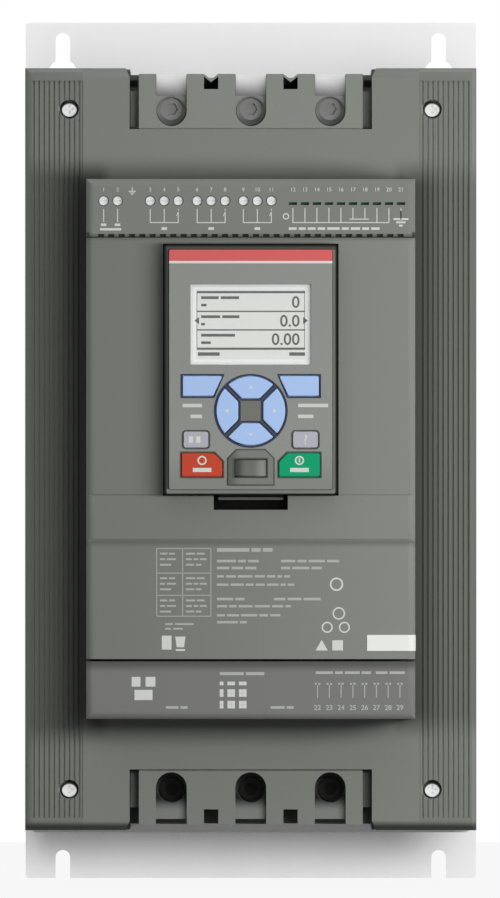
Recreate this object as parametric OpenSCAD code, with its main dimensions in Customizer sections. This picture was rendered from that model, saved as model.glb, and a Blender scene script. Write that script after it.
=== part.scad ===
// Soft starter: a wall-mounted motor controller, drawn as its separate pieces.
// X runs to the right, Z runs up, and the front looks toward minus Y.
// The origin is the centre of the plate's back face. Sizes are in millimetres.
// Depths below are measured forward from the wall.

/* [Piece] */
// Name of the piece to draw, or all of them

/* [Mounting plate] */
// Width of the steel plate
plate_w = 200; // [198:1:214]
// Height of the steel plate
plate_h = 380; // [376:1:400]
// Thickness of the plate
plate_t = 2.5; // [2:0.1:3.5]
// Corner radius of the plate
plate_r = 1.5; // [0.5:0.1:4]
// Width of the screw slots
slot_w = 6.5; // [5.5:0.1:7.5]
// Distance between the left and the right slots
slot_spacing = 167; // [160:1:174]
// Diameter of the keyhole heads
keyhole_d = 13; // [11:0.5:15]
// Slot end to keyhole head, centre to centre
keyhole_drop = 15; // [13:0.5:18]
// Top edge to the centre of the keyhole's narrow end
keyhole_edge = 7.7; // [6.5:0.1:10]
// Bottom edge to the centre of the open slot's end
open_slot_reach = 9.2; // [7:0.1:10]

/* [Chassis] */
// Side of the shroud to the side of the chassis
chassis_inset = 1; // [0.5:0.1:1.5]
// Height of the chassis top above the centre
chassis_top = 163.5; // [163.2:0.1:164]
// Depth of the chassis bottom below the centre
chassis_bottom = 168; // [166:0.5:170]
// Depth of the chassis, plate to front lip
chassis_depth = 100; // [96:1:110]
// Thickness of the chassis sheet
sheet_t = 1.5; // [1.2:0.1:1.9]
// Height of the front lips
lip_h = 8; // [6:0.5:10]
// Size of the corner plates that carry the posts
gusset = 32; // [30:1:36]
// Number of cooling slots in the top and in the bottom
vent_n = 19; // [9:1:21]
// Width of one cooling slot
vent_w = 3.5; // [2.5:0.1:3.8]
// Distance between cooling slots
vent_pitch = 8.4; // [7:0.1:8.8]

/* [Front shroud] */
// Width of the moulded shroud
shroud_w = 196; // [195:0.5:198]
// Height of the moulded shroud
shroud_h = 331; // [330.6:0.1:332]
// Depth of the shroud
shroud_depth = 104; // [100:1:112]
// Wall thickness of the shroud
shroud_wall = 2.5; // [2.2:0.1:3]
// Radius of the front edges
shroud_r = 4; // [3.2:0.1:5]
// Centre to the inner edge of the ribbed side bands
band_x = 72.8; // [72:0.1:74]
// Number of grooves in each side band
rib_n = 10; // [6:1:10]
// Distance between grooves
rib_pitch = 2.2; // [2:0.05:2.2]
// Width of one groove
rib_w = 1.0; // [0.6:0.1:1.2]
// Depth of one groove
rib_deep = 1.0; // [0.6:0.1:1.2]
// Plain edge above and below the ribs
rib_margin = 5.5; // [4.5:0.1:7]
// Centre to the shroud screws, sideways
screw_x = 78.8; // [77:0.1:81]
// Centre to the shroud screws, up and down
screw_z = 147.7; // [146:0.1:149]

/* [Power terminals] */
// Distance between phases
phase_pitch = 34.5; // [34:0.1:35]
// Width of the notch in the shroud
notch_w = 105.2; // [104.5:0.1:107]
// Height of the notch in the shroud
notch_h = 26.5; // [26:0.1:27.5]
// Gap on each side of the terminal block
notch_gap = 4.0; // [3.5:0.1:4.5]
// Shroud edge to the outer face of the block
block_drop = 2.5; // [2.2:0.1:3]
// Height of the terminal block
block_h = 35; // [34.5:0.1:36]
// Back of the terminal block, from the wall
block_back = 140; // [136:1:141]
// Half width of the guide troughs
trough_r = 6.7; // [6.2:0.1:7]
// Radius of the rounded trough floor
trough_round = 11.3; // [10:0.1:12]
// Depth of the trough at the tool hole
trough_deep = 3; // [2.5:0.1:4]
// Ledge between the tool hole and the round end of the trough
tool_ledge = 0.2; // [0.1:0.1:0.6]
// Outer face of the block to the tool hole centre
tool_inset = 16; // [15.5:0.1:16.5]
// Diameter of the cable hole in the lug
cable_d = 15; // [13:0.5:15.5]
// Width of the lug
lug_w = 22; // [21:0.1:23]
// Depth of the lug, front to back
lug_depth = 30; // [29:0.5:31]
// Back of the lug, from the wall
lug_back = 151; // [150:0.5:152]
// Diameter of the clamp screws
clamp_d = 10; // [9:0.1:10]
// Tool hole centre to the clamp screw centre, outward
clamp_shift = 0.8; // [0.5:0.1:0.8]
// Width of the small square slots between the troughs
small_slot_w = 6.2; // [5.4:0.1:6.6]
// Height of the small square slots
small_slot_h = 6.6; // [6:0.1:7]
// Length of the line side clamp screws
line_screw_len = 28; // [20:1:29]
// Length of the load side clamp screws
load_screw_len = 12; // [11:1:16]

/* [Cooling and power] */
// Gap between the heat sink and the chassis side
sink_gap = 9.5; // [8:0.5:12]
// Length of the heat sink
sink_h = 262; // [256:1:264]
// Bottom of the heat sink below the centre
sink_bottom = 118; // [116:1:120]
// Length of the fins
fin_len = 58; // [54:1:60]
// Number of fins
fin_n = 22; // [14:1:24]
// Thickness of one fin
fin_t = 2.2; // [1.6:0.1:2.6]
// Thickness of the heat sink base
sink_base = 14; // [12:0.5:15]
// Side of the square fans
fan_size = 80; // [78:1:80]
// Thickness of the fans
fan_t = 25; // [25:0.5:28]
// Distance between the two fans
fan_pitch = 83; // [82:1:86]
// Number of blades on a fan rotor
blade_n = 7; // [5:1:9]
// Width of the thyristor modules
module_w = 30; // [26:0.5:31]
// Height of the thyristor modules
module_h = 94; // [92:1:98]
// Depth of the thyristor modules
module_t = 30; // [28:0.5:31]
// Centre to the module terminals
pad_z = 27; // [25:0.5:29]
// Width of the busbars
bus_w = 20; // [16:0.5:20]
// Thickness of the busbars
bus_t = 3; // [2.5:0.1:3.5]
// Height of the bypass relays
relay_h = 124; // [120:1:128]
// Depth of the bypass relays
relay_t = 42; // [36:1:42]
// Centre to the current transformers
transformer_z = 100; // [94:1:104]

/* [Front panel] */
// Width of the raised panel
panel_w = 142; // [141:0.5:143]
// Height of the raised panel
panel_h = 233.2; // [232:0.2:235]
// Height of the raised panel above the shroud
panel_rise = 50; // [48:0.5:56]
// Wall thickness of the covers
cover_wall = 2.5; // [2.2:0.1:2.8]
// Radius of the panel's front edges
cover_r = 3.2; // [3:0.1:4]
// Height of the top cover with the control terminals
top_cover_h = 25; // [24.6:0.1:26]
// Height of the bottom cover
low_cover_h = 24.9; // [24:0.1:26]
// Gap under the top cover
top_gap = 0.4; // [0.3:0.1:0.6]
// Gap above the bottom cover
low_gap = 1.0; // [0.6:0.1:1.2]
// Number of dashes cut along the top cover
dash_n = 30; // [20:1:30]
// Distance between screw terminals
pole_pitch = 6.05; // [5.8:0.05:6.1]
// Distance between signal terminals
signal_pitch = 5.18; // [5:0.02:5.2]
// Distance between bottom terminals
comm_pitch = 5.08; // [4.8:0.02:5.1]

/* [Keypad] */
// Width of the keypad
keypad_w = 75; // [74.5:0.1:75.5]
// Height of the keypad
keypad_h = 108; // [107.5:0.1:108.4]
// Height of the keypad's centre above the panel's centre
keypad_z = 34.2; // [33.8:0.1:34.4]
// Height of the keypad's face above the panel
keypad_rise = 10; // [9:0.5:12]
// Depth of the bay that holds the keypad
bay_deep = 12.3; // [12:0.1:13]
// Gap around the keypad in its bay
bay_gap = 0.4; // [0.3:0.05:0.6]
// Black rim around the keypad's face
keypad_rim = 2.1; // [1.8:0.1:2.3]
// Thickness of the keypad's face plate
face_t = 2.2; // [2:0.1:2.6]
// Gap around the keys
key_gap = 0.3; // [0.25:0.05:0.35]
// Height of the keys above the face
key_rise = 0.8; // [0.5:0.1:1.2]
// Extra width of the flange that holds a key in
key_flange = 0.8; // [0.7:0.05:0.85]
// Radius of the arrow key ring
nav_r = 14.9; // [14:0.1:15]
// Gap between two arrow keys
nav_gap = 2.2; // [2.1:0.1:2.6]
// Half width of the square inside the arrow keys
nav_core = 5.4; // [5:0.1:6]
// Width of the display window
window_w = 51.6; // [50:0.2:52]
// Height of the display window
window_h = 34.3; // [33:0.1:34.6]
// Width of the flap over the service socket
flap_w = 13.4; // [13:0.1:13.6]
// Height of the flap over the service socket
flap_h = 7.2; // [6.8:0.1:7.4]

/* [Hidden] */
$fn = 64;
// Named clearances: a loose gap, a running fit and a screw in its hole
gap = 0.3;
run_fit = 0.05;
screw_fit = 0.05;
// Overlap that makes a cut go clean through
over = 1;

// Widths that follow the shroud
chassis_w = shroud_w - 2 * chassis_inset;
sink_w = chassis_w - 2 * sheet_t - 2 * sink_gap;

// Depths of the main faces, counted from the wall
chassis_front = plate_t + chassis_depth;
shroud_front = chassis_front + shroud_depth;
shroud_inner = shroud_front - shroud_wall;
panel_front = shroud_front + panel_rise;
panel_inner = panel_front - cover_wall;
keypad_face = panel_front + keypad_rise;
sink_front = plate_t + fin_len + sink_base;
module_front = sink_front + module_t;
bus_front = module_front + bus_t;

// Mounting plate
keyhole_z = plate_h / 2 - keyhole_edge;
open_slot_z = -plate_h / 2 + open_slot_reach;

// Chassis posts and shroud screws
post_r = 5;
post_top = shroud_front - 18;
boss_r = 6.8;
seat_d = shroud_front - 7;
recess_r = 4.15;
screw_r = 1.95;
head_r = 3.25;
head_t = 3.4;
screw_len = 20;

// Fans
fan_x = fan_pitch / 2;
fan_d = plate_t + 1 + fan_size / 2;
fan_z = -sink_bottom - fan_t;
fan_bore_r = fan_size / 2 - 1.5;
rotor_r = fan_bore_r - 1;
hub_r = 17;
shaft_r = 1.5;
guard_t = 1.6;

// Terminal blocks and lugs
block_w = notch_w - 2 * notch_gap;
block_top = shroud_h / 2 - block_drop;
block_low = block_top - block_h;
block_front = shroud_inner;
flange_front = shroud_front - 26;
guide_flange = 6;
flange_side = 9;
guide_back = flange_front - guide_flange;
block_edge = shroud_h / 2 - notch_h;
roof_t = 2.9;
ear_front = block_front - 7;
ear_top = block_top - 7.4;
tool_z = block_top - tool_inset;
tool_r = trough_r - tool_ledge;
clamp_z = tool_z + clamp_shift;
round_z = block_top - trough_round;
trough_floor = block_front - trough_deep;
vee_deep = 2.5;
vee_wall = 1.1;
socket_r = 2.9;
line_socket = 1.2;
load_socket = 6;
trough_step = 2.4;
step_deep = 14;
lug_low = block_low + 2;
lug_top = block_top - 5;
lug_front = lug_back + lug_depth;
cable_axis = lug_back + 4.5 + cable_d / 2;
cable_deep = lug_top - lug_low - 4;
entry_d = cable_d + 2;
clamp_tip = cable_axis + cable_d / 2 + 0.5;
bus_turn = block_low - 2 - bus_t;
phases = [-phase_pitch, 0, phase_pitch];

// Current transformers around the load busbars
transformer_h = 14;
transformer_t = 10;

// Busbar screws
bus_screw_r = 3;
bus_screw_len = 10;
bus_head_r = 5;
bus_head_t = 4;

// Bypass relays stand on two feet
foot_t = 6;
foot_z = relay_h / 2 - 9;
relay_back = bus_front + foot_t;

// Boards
board_t = 1.6;
power_back = relay_back + relay_t + 4.5;
power_front = power_back + board_t;
power_w = 140;
power_h = 160;
spacer_x = 62;
spacer_z = 72;
control_front = panel_inner - 24.4;
control_back = control_front - board_t;
control_w = panel_w - 2 * cover_wall - 7;
control_h = panel_h - 2 * cover_wall - 2.2;
control_boss_x = 60;
control_boss_z = 78;
boss_d = 7;
board_screw_r = 1.4;
board_screw_len = 9;
board_head_r = 2.8;
board_head_t = 2.2;
spacer_r = 4;
link_z = 62;
link_w = 26;
link_t = 6;
root = 0.5;

// Parts on the power board
firing_w = 22;
firing_t = 16;
firing_z = -23;
store_r = 8;
store_t = 24;
store_z = 20;

// Parts on the control board
small_relay_w = 16;
small_relay_h = 22;
small_relay_t = 12;
small_relay_z = 73;
small_relay_shift = 10;
chip_w = 20;
chip_t = 2;
chip_x = -20;
chip_z = -50;
buffer_r = 9;
buffer_t = 18;
buffer_x = 40;
buffer_z = -58;

// Covers
top_cover_z = panel_h / 2 - top_cover_h;
front_top = top_cover_z - top_gap;
low_cover_z = -panel_h / 2 + low_cover_h;
front_low = low_cover_z + low_gap;
line_z = keypad_z - keypad_h / 2 - 0.1;
groove_z = line_z - 19.8;
slot_half = 16;
slot_low = line_z - 6.4;
marker_w = 17.6;
marker_h = 6.9;
marker_t = 0.3;
marker_low = front_low + 3.5;
wire_w = 3.4;
dash_w = 2.6;
dash_pitch = 4.46;
dash_h = 1.2;
dash_deep = 1.4;

// Control terminals
pole_z = panel_h / 2 - 9.5;
pole_top = panel_h / 2 - cover_wall - gap;
pole_low = pole_z - 9;
pole_front = panel_inner - 2.5;
supply_x = -60.5;
relay_x = [-37.35, -17.1, 2.85];
signal_x = 41.5;
comm_x = 46.6;
pole_head_r = 1.95;
pole_head_t = 3.2;
pole_screw_r = 1.5;
pole_screw_len = 7;
pole_hole_r = 2.25;
wire_d = control_front + 10;

// Keypad
bay_w = keypad_w + 2 * bay_gap;
bay_h = keypad_h + 2 * bay_gap;
cradle_t = 1.6;
cradle_floor = panel_front - bay_deep;
tray_back = cradle_floor + gap;
tray_t = 1.8;
tray_r = 1.2;
tray_front = keypad_face - 1;
face_w = keypad_w - 2 * keypad_rim - 0.4;
face_h = keypad_h - 2 * keypad_rim - 0.4;
face_back = keypad_face - face_t;
kb_front = keypad_face - 8.4;
kb_back = kb_front - board_t;
kb_w = face_w - 0.2;
kb_h = face_h - 0.2;
key_front = keypad_face + key_rise;
flange_t = 1.5;
key_back = face_back - gap - flange_t;
switch_top = key_back - 1.3;
window_t = 1.2;
window_back = keypad_face - 1.4;
window_z = keypad_z + 19.4;
display_w = window_w + 5.4;
display_h = window_h + 4.7;
soft_w = 17;
soft_h = 8.4;
soft_slant = 3.9;
small_w = 10.6;
small_h = 6.7;
small_r = 0.9;
run_w = 17.5;
run_h = 9.9;
run_slant = 3.55;
soft_x = 20.8;
soft_z = keypad_z - 7.1;
nav_z = keypad_z - 17.8;
small_x = 23.6;
small_z = keypad_z - 30.2;
run_x = 21;
run_z = keypad_z - 41.1;
usb_z = keypad_z - 42.6;
flap_t = 1.4;
flap_gap = 0.3;
hinge_r = flap_t / 2;
pin_r = 0.5;
pin_len = 1.2;
hinge_d = keypad_face - 1.1;
hinge_z = usb_z - flap_h / 2 + hinge_r;
usb_frame_front = keypad_face + 0.7;
usb_half = 9.7;
usb_low = -6.9;
usb_high = 7.8;
usb_slant = 3.6;
plug_z = keypad_z - 20;
plug_w = 11.6;
plug_h = 8;

// Rough colours of the materials
zinc = [0.80, 0.81, 0.82];
housing = [0.47, 0.48, 0.46];
cover = [0.48, 0.49, 0.47];
black = [0.08, 0.08, 0.08];
copper = [0.72, 0.45, 0.25];
tin = [0.75, 0.75, 0.76];
steel = [0.70, 0.70, 0.72];
alloy = [0.72, 0.73, 0.75];
board = [0.08, 0.30, 0.16];
lilac = [0.64, 0.74, 0.90];
light = [0.72, 0.72, 0.75];

// Every piece, in assembly order

// A block centred on x, between two depths and two heights
module slab(w, d0, d1, z0, z1, x = 0) {
    translate([x - w / 2, -d1, z0])
        cube([w, d1 - d0, z1 - z0]);
}

// A round bar that runs forward from depth d0 to depth d1
module rod(r, d0, d1, x = 0, z = 0) {
    translate([x, -d0, z])
        rotate([90, 0, 0])
            cylinder(r = r, h = d1 - d0);
}

// A round bar that runs up from height z0 to height z1
module pillar(r, z0, z1, x = 0, d = 0) {
    translate([x, -d, z0])
        cylinder(r = r, h = z1 - z0);
}

// A round bar that runs sideways, centred on x
module axle(r, w, d, z, x = 0) {
    translate([x - w / 2, -d, z])
        rotate([0, 90, 0])
            cylinder(r = r, h = w);
}

// Pushes a front-view outline forward from depth d0 to depth d1
module front_outline(d0, d1) {
    translate([0, -d0, 0])
        rotate([90, 0, 0])
            linear_extrude(d1 - d0)
                children();
}

// Pushes a side-view outline (depth, height) sideways
module side_outline(w, x = 0) {
    translate([x + w / 2, 0, 0])
        rotate([90, 0, -90])
            linear_extrude(w)
                children();
}

// A rectangle with round corners
module round_rect(w, h, r) {
    square([w - 2 * r, h], center = true);
    square([w, h - 2 * r], center = true);
    for (x = [-1, 1], y = [-1, 1])
        translate([x * (w / 2 - r), y * (h / 2 - r)])
            circle(r);
}

// A box whose four front edges are rounded
module soft_box(w, h, d0, d1, r) {
    intersection() {
        translate([0, 0, -h / 2])
            linear_extrude(h) {
                translate([-w / 2, r - d1])
                    square([w, d1 - d0 - r]);
                translate([r - w / 2, -d1])
                    square([w - 2 * r, d1 - d0]);
                for (x = [-1, 1])
                    translate([x * (w / 2 - r), r - d1])
                        circle(r);
            }
        side_outline(w) {
            translate([d0, -h / 2])
                square([d1 - d0 - r, h]);
            translate([d0, r - h / 2])
                square([d1 - d0, h - 2 * r]);
            for (z = [-1, 1])
                translate([d1 - r, z * (h / 2 - r)])
                    circle(r);
        }
    }
}

// Flat steel back plate with two keyholes and two open slots
module mounting_plate() {
    color(zinc)
        front_outline(0, plate_t)
            difference() {
                round_rect(plate_w, plate_h, plate_r);
                for (x = [-1, 1])
                    translate([x * slot_spacing / 2, 0]) {
                        translate([0, keyhole_z])
                            circle(slot_w / 2);
                        translate([-slot_w / 2, keyhole_z - keyhole_drop])
                            square([slot_w, keyhole_drop]);
                        translate([0, keyhole_z - keyhole_drop])
                            circle(keyhole_d / 2);
                        translate([0, open_slot_z])
                            circle(slot_w / 2);
                        translate([-slot_w / 2, -plate_h / 2 - over])
                            square([slot_w, open_slot_reach + over]);
                    }
            }
}

// Cooling slots through the top or the bottom sheet of the chassis
module chassis_vents(z) {
    for (i = [0 : vent_n - 1])
        slab(vent_w, plate_t + 8, chassis_front - 18, z - 4, z + 4,
            (i - (vent_n - 1) / 2) * vent_pitch);
}

// Folded sheet box on the plate, with lips and corner plates that carry four posts
module chassis() {
    mid = (chassis_top - chassis_bottom) / 2;
    high = chassis_top + chassis_bottom;
    color(zinc)
        difference() {
            union() {
                front_outline(plate_t, chassis_front)
                    translate([0, mid])
                        difference() {
                            round_rect(chassis_w, high, 3);
                            round_rect(chassis_w - 2 * sheet_t, high - 2 * sheet_t, 3 - sheet_t);
                        }
                slab(chassis_w - 6, chassis_front - sheet_t, chassis_front, chassis_top - lip_h, chassis_top);
                slab(chassis_w - 6, chassis_front - sheet_t, chassis_front, -chassis_bottom,
                    lip_h - chassis_bottom);
                for (x = [-1, 1], z = [-1, 1]) {
                    slab(gusset, chassis_front - sheet_t, chassis_front, z * screw_z - 13, z * screw_z + 13,
                        x * (chassis_w / 2 - gusset / 2 - 0.5));
                    rod(post_r, chassis_front - sheet_t, post_top, x * screw_x, z * screw_z);
                }
            }
            chassis_vents(chassis_top);
            chassis_vents(-chassis_bottom);
            for (x = [-1, 1], z = [-1, 1])
                rod(screw_r + screw_fit, seat_d - screw_len - 2, post_top + over, x * screw_x, z * screw_z);
        }
}

// Extruded fins behind a thick base, standing on the plate
module heat_sink() {
    step = (sink_w - fin_t) / (fin_n - 1);
    color(alloy)
        translate([0, 0, -sink_bottom])
            linear_extrude(sink_h) {
                translate([-sink_w / 2, -sink_front])
                    square([sink_w, sink_base]);
                for (i = [0 : fin_n - 1])
                    translate([i * step - sink_w / 2, -sink_front + sink_base / 2])
                        square([fin_t, fin_len + sink_base / 2]);
            }
}

// Square fan housing with a spider that carries the bearing tube
module fan_frame(x) {
    color(black)
        translate([x, -fan_d, fan_z])
            difference() {
                union() {
                    difference() {
                        translate([-fan_size / 2, -fan_size / 2, 0])
                            cube([fan_size, fan_size, fan_t]);
                        translate([0, 0, -over])
                            cylinder(r = fan_bore_r, h = fan_t + 2 * over);
                    }
                    cylinder(r = hub_r, h = 4);
                    cylinder(r = 4, h = 17);
                    for (a = [45, 135])
                        rotate([0, 0, a])
                            translate([-fan_bore_r - 1, -2, 0])
                                cube([2 * fan_bore_r + 2, 4, 3]);
                }
                translate([0, 0, 2])
                    cylinder(r = shaft_r + run_fit, h = fan_t);
            }
}

// Fan rotor: hub cup, shaft and pitched blades
module fan_rotor(x) {
    color(black)
        translate([x, -fan_d, fan_z]) {
            difference() {
                translate([0, 0, 5.5])
                    cylinder(r = hub_r, h = 16.5);
                translate([0, 0, 4])
                    cylinder(r = hub_r - 2, h = 16);
            }
            translate([0, 0, 3])
                cylinder(r = shaft_r, h = 18);
            intersection() {
                difference() {
                    translate([0, 0, 6])
                        cylinder(r = rotor_r, h = 15);
                    translate([0, 0, 5])
                        cylinder(r = hub_r - 1, h = 17);
                }
                for (i = [0 : blade_n - 1])
                    rotate([0, 0, i * 360 / blade_n])
                        translate([hub_r - 3, 0, 13.5])
                            rotate([38, 0, 0])
                                translate([0, -15, -0.8])
                                    cube([rotor_r, 30, 1.6]);
            }
        }
}

module fan_frame_left() {
    fan_frame(-fan_x);
}

module fan_frame_right() {
    fan_frame(fan_x);
}

module fan_rotor_left() {
    fan_rotor(-fan_x);
}

module fan_rotor_right() {
    fan_rotor(fan_x);
}

// Finger guards under both fans
module fan_guards() {
    color(steel)
        for (x = [-1, 1])
            translate([x * fan_x, -fan_d, fan_z - guard_t])
                linear_extrude(guard_t) {
                    for (r = [12, 20, 28, 36])
                        difference() {
                            circle(r + 0.8);
                            circle(r - 0.8);
                        }
                    for (a = [45, 135])
                        rotate(a)
                            square([fan_size * 1.25, 2.2], center = true);
                }
}

// One thyristor module: metal base, moulded body and two terminal pads
module thyristor_module(x) {
    color(black)
        difference() {
            union() {
                slab(module_w, sink_front, sink_front + 5, -module_h / 2, module_h / 2, x);
                slab(module_w, sink_front, module_front - 2, 7 - module_h / 2, module_h / 2 - 7, x);
                for (z = [-1, 1])
                    slab(18, module_front - 3, module_front, z * pad_z - 9, z * pad_z + 9, x);
            }
            for (z = [-1, 1])
                rod(bus_screw_r + screw_fit, module_front - 12, module_front + over, x, z * pad_z);
        }
}

module thyristor_module_1() {
    thyristor_module(phases[0]);
}

module thyristor_module_2() {
    thyristor_module(phases[1]);
}

module thyristor_module_3() {
    thyristor_module(phases[2]);
}

// Three bent copper bars from the modules to the line lugs
module line_busbars() {
    color(copper)
        for (x = phases)
            difference() {
                side_outline(bus_w, x)
                    polygon([
                        [module_front, pad_z - 10],
                        [bus_front, pad_z - 10],
                        [bus_front, bus_turn],
                        [lug_back, bus_turn],
                        [lug_back, lug_top - 1],
                        [lug_back - bus_t, lug_top - 1],
                        [lug_back - bus_t, bus_turn + bus_t],
                        [module_front, bus_turn + bus_t]
                    ]);
                rod(bus_screw_r + 0.2, module_front - over, bus_front + over, x, pad_z);
            }
}

// The same bars below, from the modules to the load lugs
module load_busbars() {
    mirror([0, 0, 1])
        line_busbars();
}

// Screws that hold the busbars on the modules
module busbar_screws() {
    color(steel)
        for (x = phases, z = [-1, 1]) {
            rod(bus_head_r, bus_front, bus_front + bus_head_t, x, z * pad_z);
            rod(bus_screw_r, module_front - bus_screw_len, bus_front + over, x, z * pad_z);
        }
}

// One bypass relay in a closed case, on two contact feet
module bypass_relay(x) {
    color(black) {
        slab(module_w, relay_back, relay_back + relay_t, -relay_h / 2, relay_h / 2, x);
        for (z = [-1, 1])
            slab(bus_w, bus_front, relay_back + over, z * foot_z - 8, z * foot_z + 8, x);
    }
}

module bypass_relay_1() {
    bypass_relay(phases[0]);
}

module bypass_relay_2() {
    bypass_relay(phases[1]);
}

module bypass_relay_3() {
    bypass_relay(phases[2]);
}

// Current transformers slipped over the load busbars
module current_transformers() {
    color(black)
        for (x = phases)
            difference() {
                slab(module_w, module_front - transformer_t, bus_front + transformer_t,
                    -transformer_z - transformer_h / 2, transformer_h / 2 - transformer_z, x);
                slab(bus_w, module_front - 0.1, bus_front + 0.1, -transformer_z - transformer_h,
                    transformer_h - transformer_z, x);
            }
}

// Tinned lugs: a blind cable hole from above and a threaded clamp hole in front
module line_lugs() {
    color(tin)
        for (x = phases)
            difference() {
                slab(lug_w, lug_back, lug_front, lug_low, lug_top, x);
                pillar(cable_d / 2, lug_top - cable_deep, lug_top + over, x, cable_axis);
                rod(clamp_d / 2 + screw_fit, cable_axis, lug_front + over, x, clamp_z);
            }
}

module load_lugs() {
    mirror([0, 0, 1])
        line_lugs();
}

// One clamp screw with a hexagon socket
module clamp_screw(len, deep, x, z) {
    difference() {
        rod(clamp_d / 2, clamp_tip, clamp_tip + len, x, z);
        translate([x, -clamp_tip - len + deep, z])
            rotate([90, 0, 0])
                cylinder(r = socket_r, h = deep + over, $fn = 6);
    }
}

// Six clamp screws, longer on the line side
module clamp_screws() {
    color(steel)
        for (x = phases) {
            clamp_screw(line_screw_len, line_socket, x, clamp_z);
            clamp_screw(load_screw_len, load_socket, x, -clamp_z);
        }
}

// Guide trough of one phase: a round end at the tool hole, then on the line side a floor that curves back
// to the edge, on the load side a flat floor that stops short of it
module trough(x, line) {
    bottom = trough_floor - trough_round;
    rod(trough_r, trough_floor, block_front + over, x, tool_z);
    if (line)
        difference() {
            slab(2 * trough_r, bottom, block_front + over, tool_z, block_top + over, x);
            slab(2 * trough_r + over, bottom - over, trough_floor, tool_z - over, round_z, x);
            axle(trough_round, 2 * trough_r + over, bottom, round_z, x);
        }
    else {
        slab(2 * trough_r, trough_floor, block_front + over, tool_z, block_top + over, x);
        slab(2 * trough_r, trough_floor - step_deep, block_front + over, block_top - trough_step,
            block_top + over, x);
    }
}

// V groove along the top between two phases, on the line side
module vee_groove(x) {
    wide = small_slot_w / 2 * (vee_deep + over) / vee_deep;
    front_outline(chassis_front - over, block_front + over)
        polygon([[x, block_top - vee_deep], [x + wide, block_top + over], [x - wide, block_top + over]]);
}

// Square slot between two troughs; under a V groove it has a peaked top
module small_slot(x, line) {
    half = small_slot_w / 2;
    low = block_top - small_slot_h;
    peak = block_top - vee_deep - vee_wall;
    front_outline(guide_back - over, block_front + over)
        if (line)
            polygon([[x - half, low], [x + half, low], [x + half, block_top - vee_wall], [x, peak],
                [x - half, block_top - vee_wall]]);
        else
            polygon([[x - half, low], [x + half, low], [x + half, block_top + over],
                [x - half, block_top + over]]);
}

// Pocket that takes one lug and the busbar behind it
module lug_pocket(x) {
    slab(lug_w + 2 * gap, lug_back - bus_t - gap, lug_front + gap, block_low - over, lug_top + gap, x);
}

// Rear moulding around three lugs, with the cable entries and a roof back to the chassis
module terminal_block(line) {
    color(housing)
        difference() {
            union() {
                slab(block_w, block_back, guide_back, block_low, block_top);
                slab(notch_w - 2 * gap, chassis_front, guide_back, block_top - roof_t, block_top);
            }
            for (x = phases) {
                lug_pocket(x);
                pillar(entry_d / 2, lug_top, block_top + over, x, cable_axis);
            }
            if (line)
                for (x = [-phase_pitch / 2, phase_pitch / 2])
                    vee_groove(x);
        }
}

module line_terminal_block() {
    terminal_block(true);
}

module load_terminal_block() {
    mirror([0, 0, 1])
        terminal_block(false);
}

// Front moulding with guide troughs and tool holes; the shroud holds it by its flange
module terminal_guide(line) {
    difference() {
        union() {
            slab(block_w, guide_back, block_front, block_low, block_top);
            slab(block_w + 2 * flange_side, guide_back, flange_front, block_low, block_top);
            slab(notch_w - 2 * gap, flange_front - over, ear_front, block_edge + gap, ear_top);
        }
        for (x = phases) {
            lug_pocket(x);
            rod(tool_r, lug_front, block_front + over, x, tool_z);
            trough(x, line);
        }
        for (x = [-phase_pitch / 2, phase_pitch / 2]) {
            small_slot(x, line);
            if (line)
                vee_groove(x);
        }
    }
}

// The two guides, one over the line side block and one over the load side block
module terminal_guides() {
    color(housing) {
        terminal_guide(true);
        mirror([0, 0, 1])
            terminal_guide(false);
    }
}

// Hexagon pillars from the heat sink to the power board
module board_spacers() {
    color(steel)
        for (x = [-1, 1], z = [-1, 1])
            difference() {
                translate([x * spacer_x, -sink_front, z * spacer_z])
                    rotate([90, 0, 0])
                        cylinder(r = spacer_r, h = power_back - sink_front, $fn = 6);
                rod(board_screw_r + screw_fit, power_back - 1.5 * board_screw_len, power_back + over,
                    x * spacer_x, z * spacer_z);
            }
}

// Power board with its firing transformers, capacitors and link header
module power_board() {
    color(board)
        difference() {
            union() {
                slab(power_w, power_back, power_front, -power_h / 2, power_h / 2);
                for (x = phases) {
                    slab(firing_w, power_back + root, power_front + firing_t, firing_z - firing_w / 2,
                        firing_z + firing_w / 2, x);
                    rod(store_r, power_back + root, power_front + store_t, x, store_z);
                }
                slab(link_w + 6, power_back + root, power_front + link_t, link_z - 4, link_z + 4);
            }
            for (x = [-1, 1], z = [-1, 1])
                rod(board_screw_r + 0.2, power_back - over, power_front + over, x * spacer_x, z * spacer_z);
        }
}

// Screws of the power board and of the control board
module board_screws() {
    color(steel)
        for (x = [-1, 1], z = [-1, 1]) {
            rod(board_head_r, power_front, power_front + board_head_t, x * spacer_x, z * spacer_z);
            rod(board_screw_r, power_back - board_screw_len, power_front + over, x * spacer_x,
                z * spacer_z);
            rod(board_head_r, control_back - board_head_t, control_back, x * control_boss_x,
                z * control_boss_z);
            rod(board_screw_r, control_back - over, control_front + board_screw_len, x * control_boss_x,
                z * control_boss_z);
        }
}

// Flat cable that joins the two boards, with a bend for slack
module ribbon_cable() {
    low = power_front + link_t;
    high = control_back - link_t;
    color(light)
        side_outline(link_w)
            polygon([[low, link_z - 0.5], [low + 14, link_z - 0.5], [high - 14, link_z + 7.5],
                [high, link_z - 0.5], [high, link_z + 0.5], [high - 14, link_z + 8.5],
                [low + 14, link_z + 0.5], [low, link_z + 0.5]]);
}

// Grooves of one ribbed side band
module shroud_ribs(side) {
    for (i = [0 : rib_n - 1])
        slab(rib_w, shroud_front - 0.4 - rib_deep, shroud_front + over, rib_margin - shroud_h / 2,
            shroud_h / 2 - rib_margin, side * (band_x + 1.7 + i * rib_pitch));
}

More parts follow.
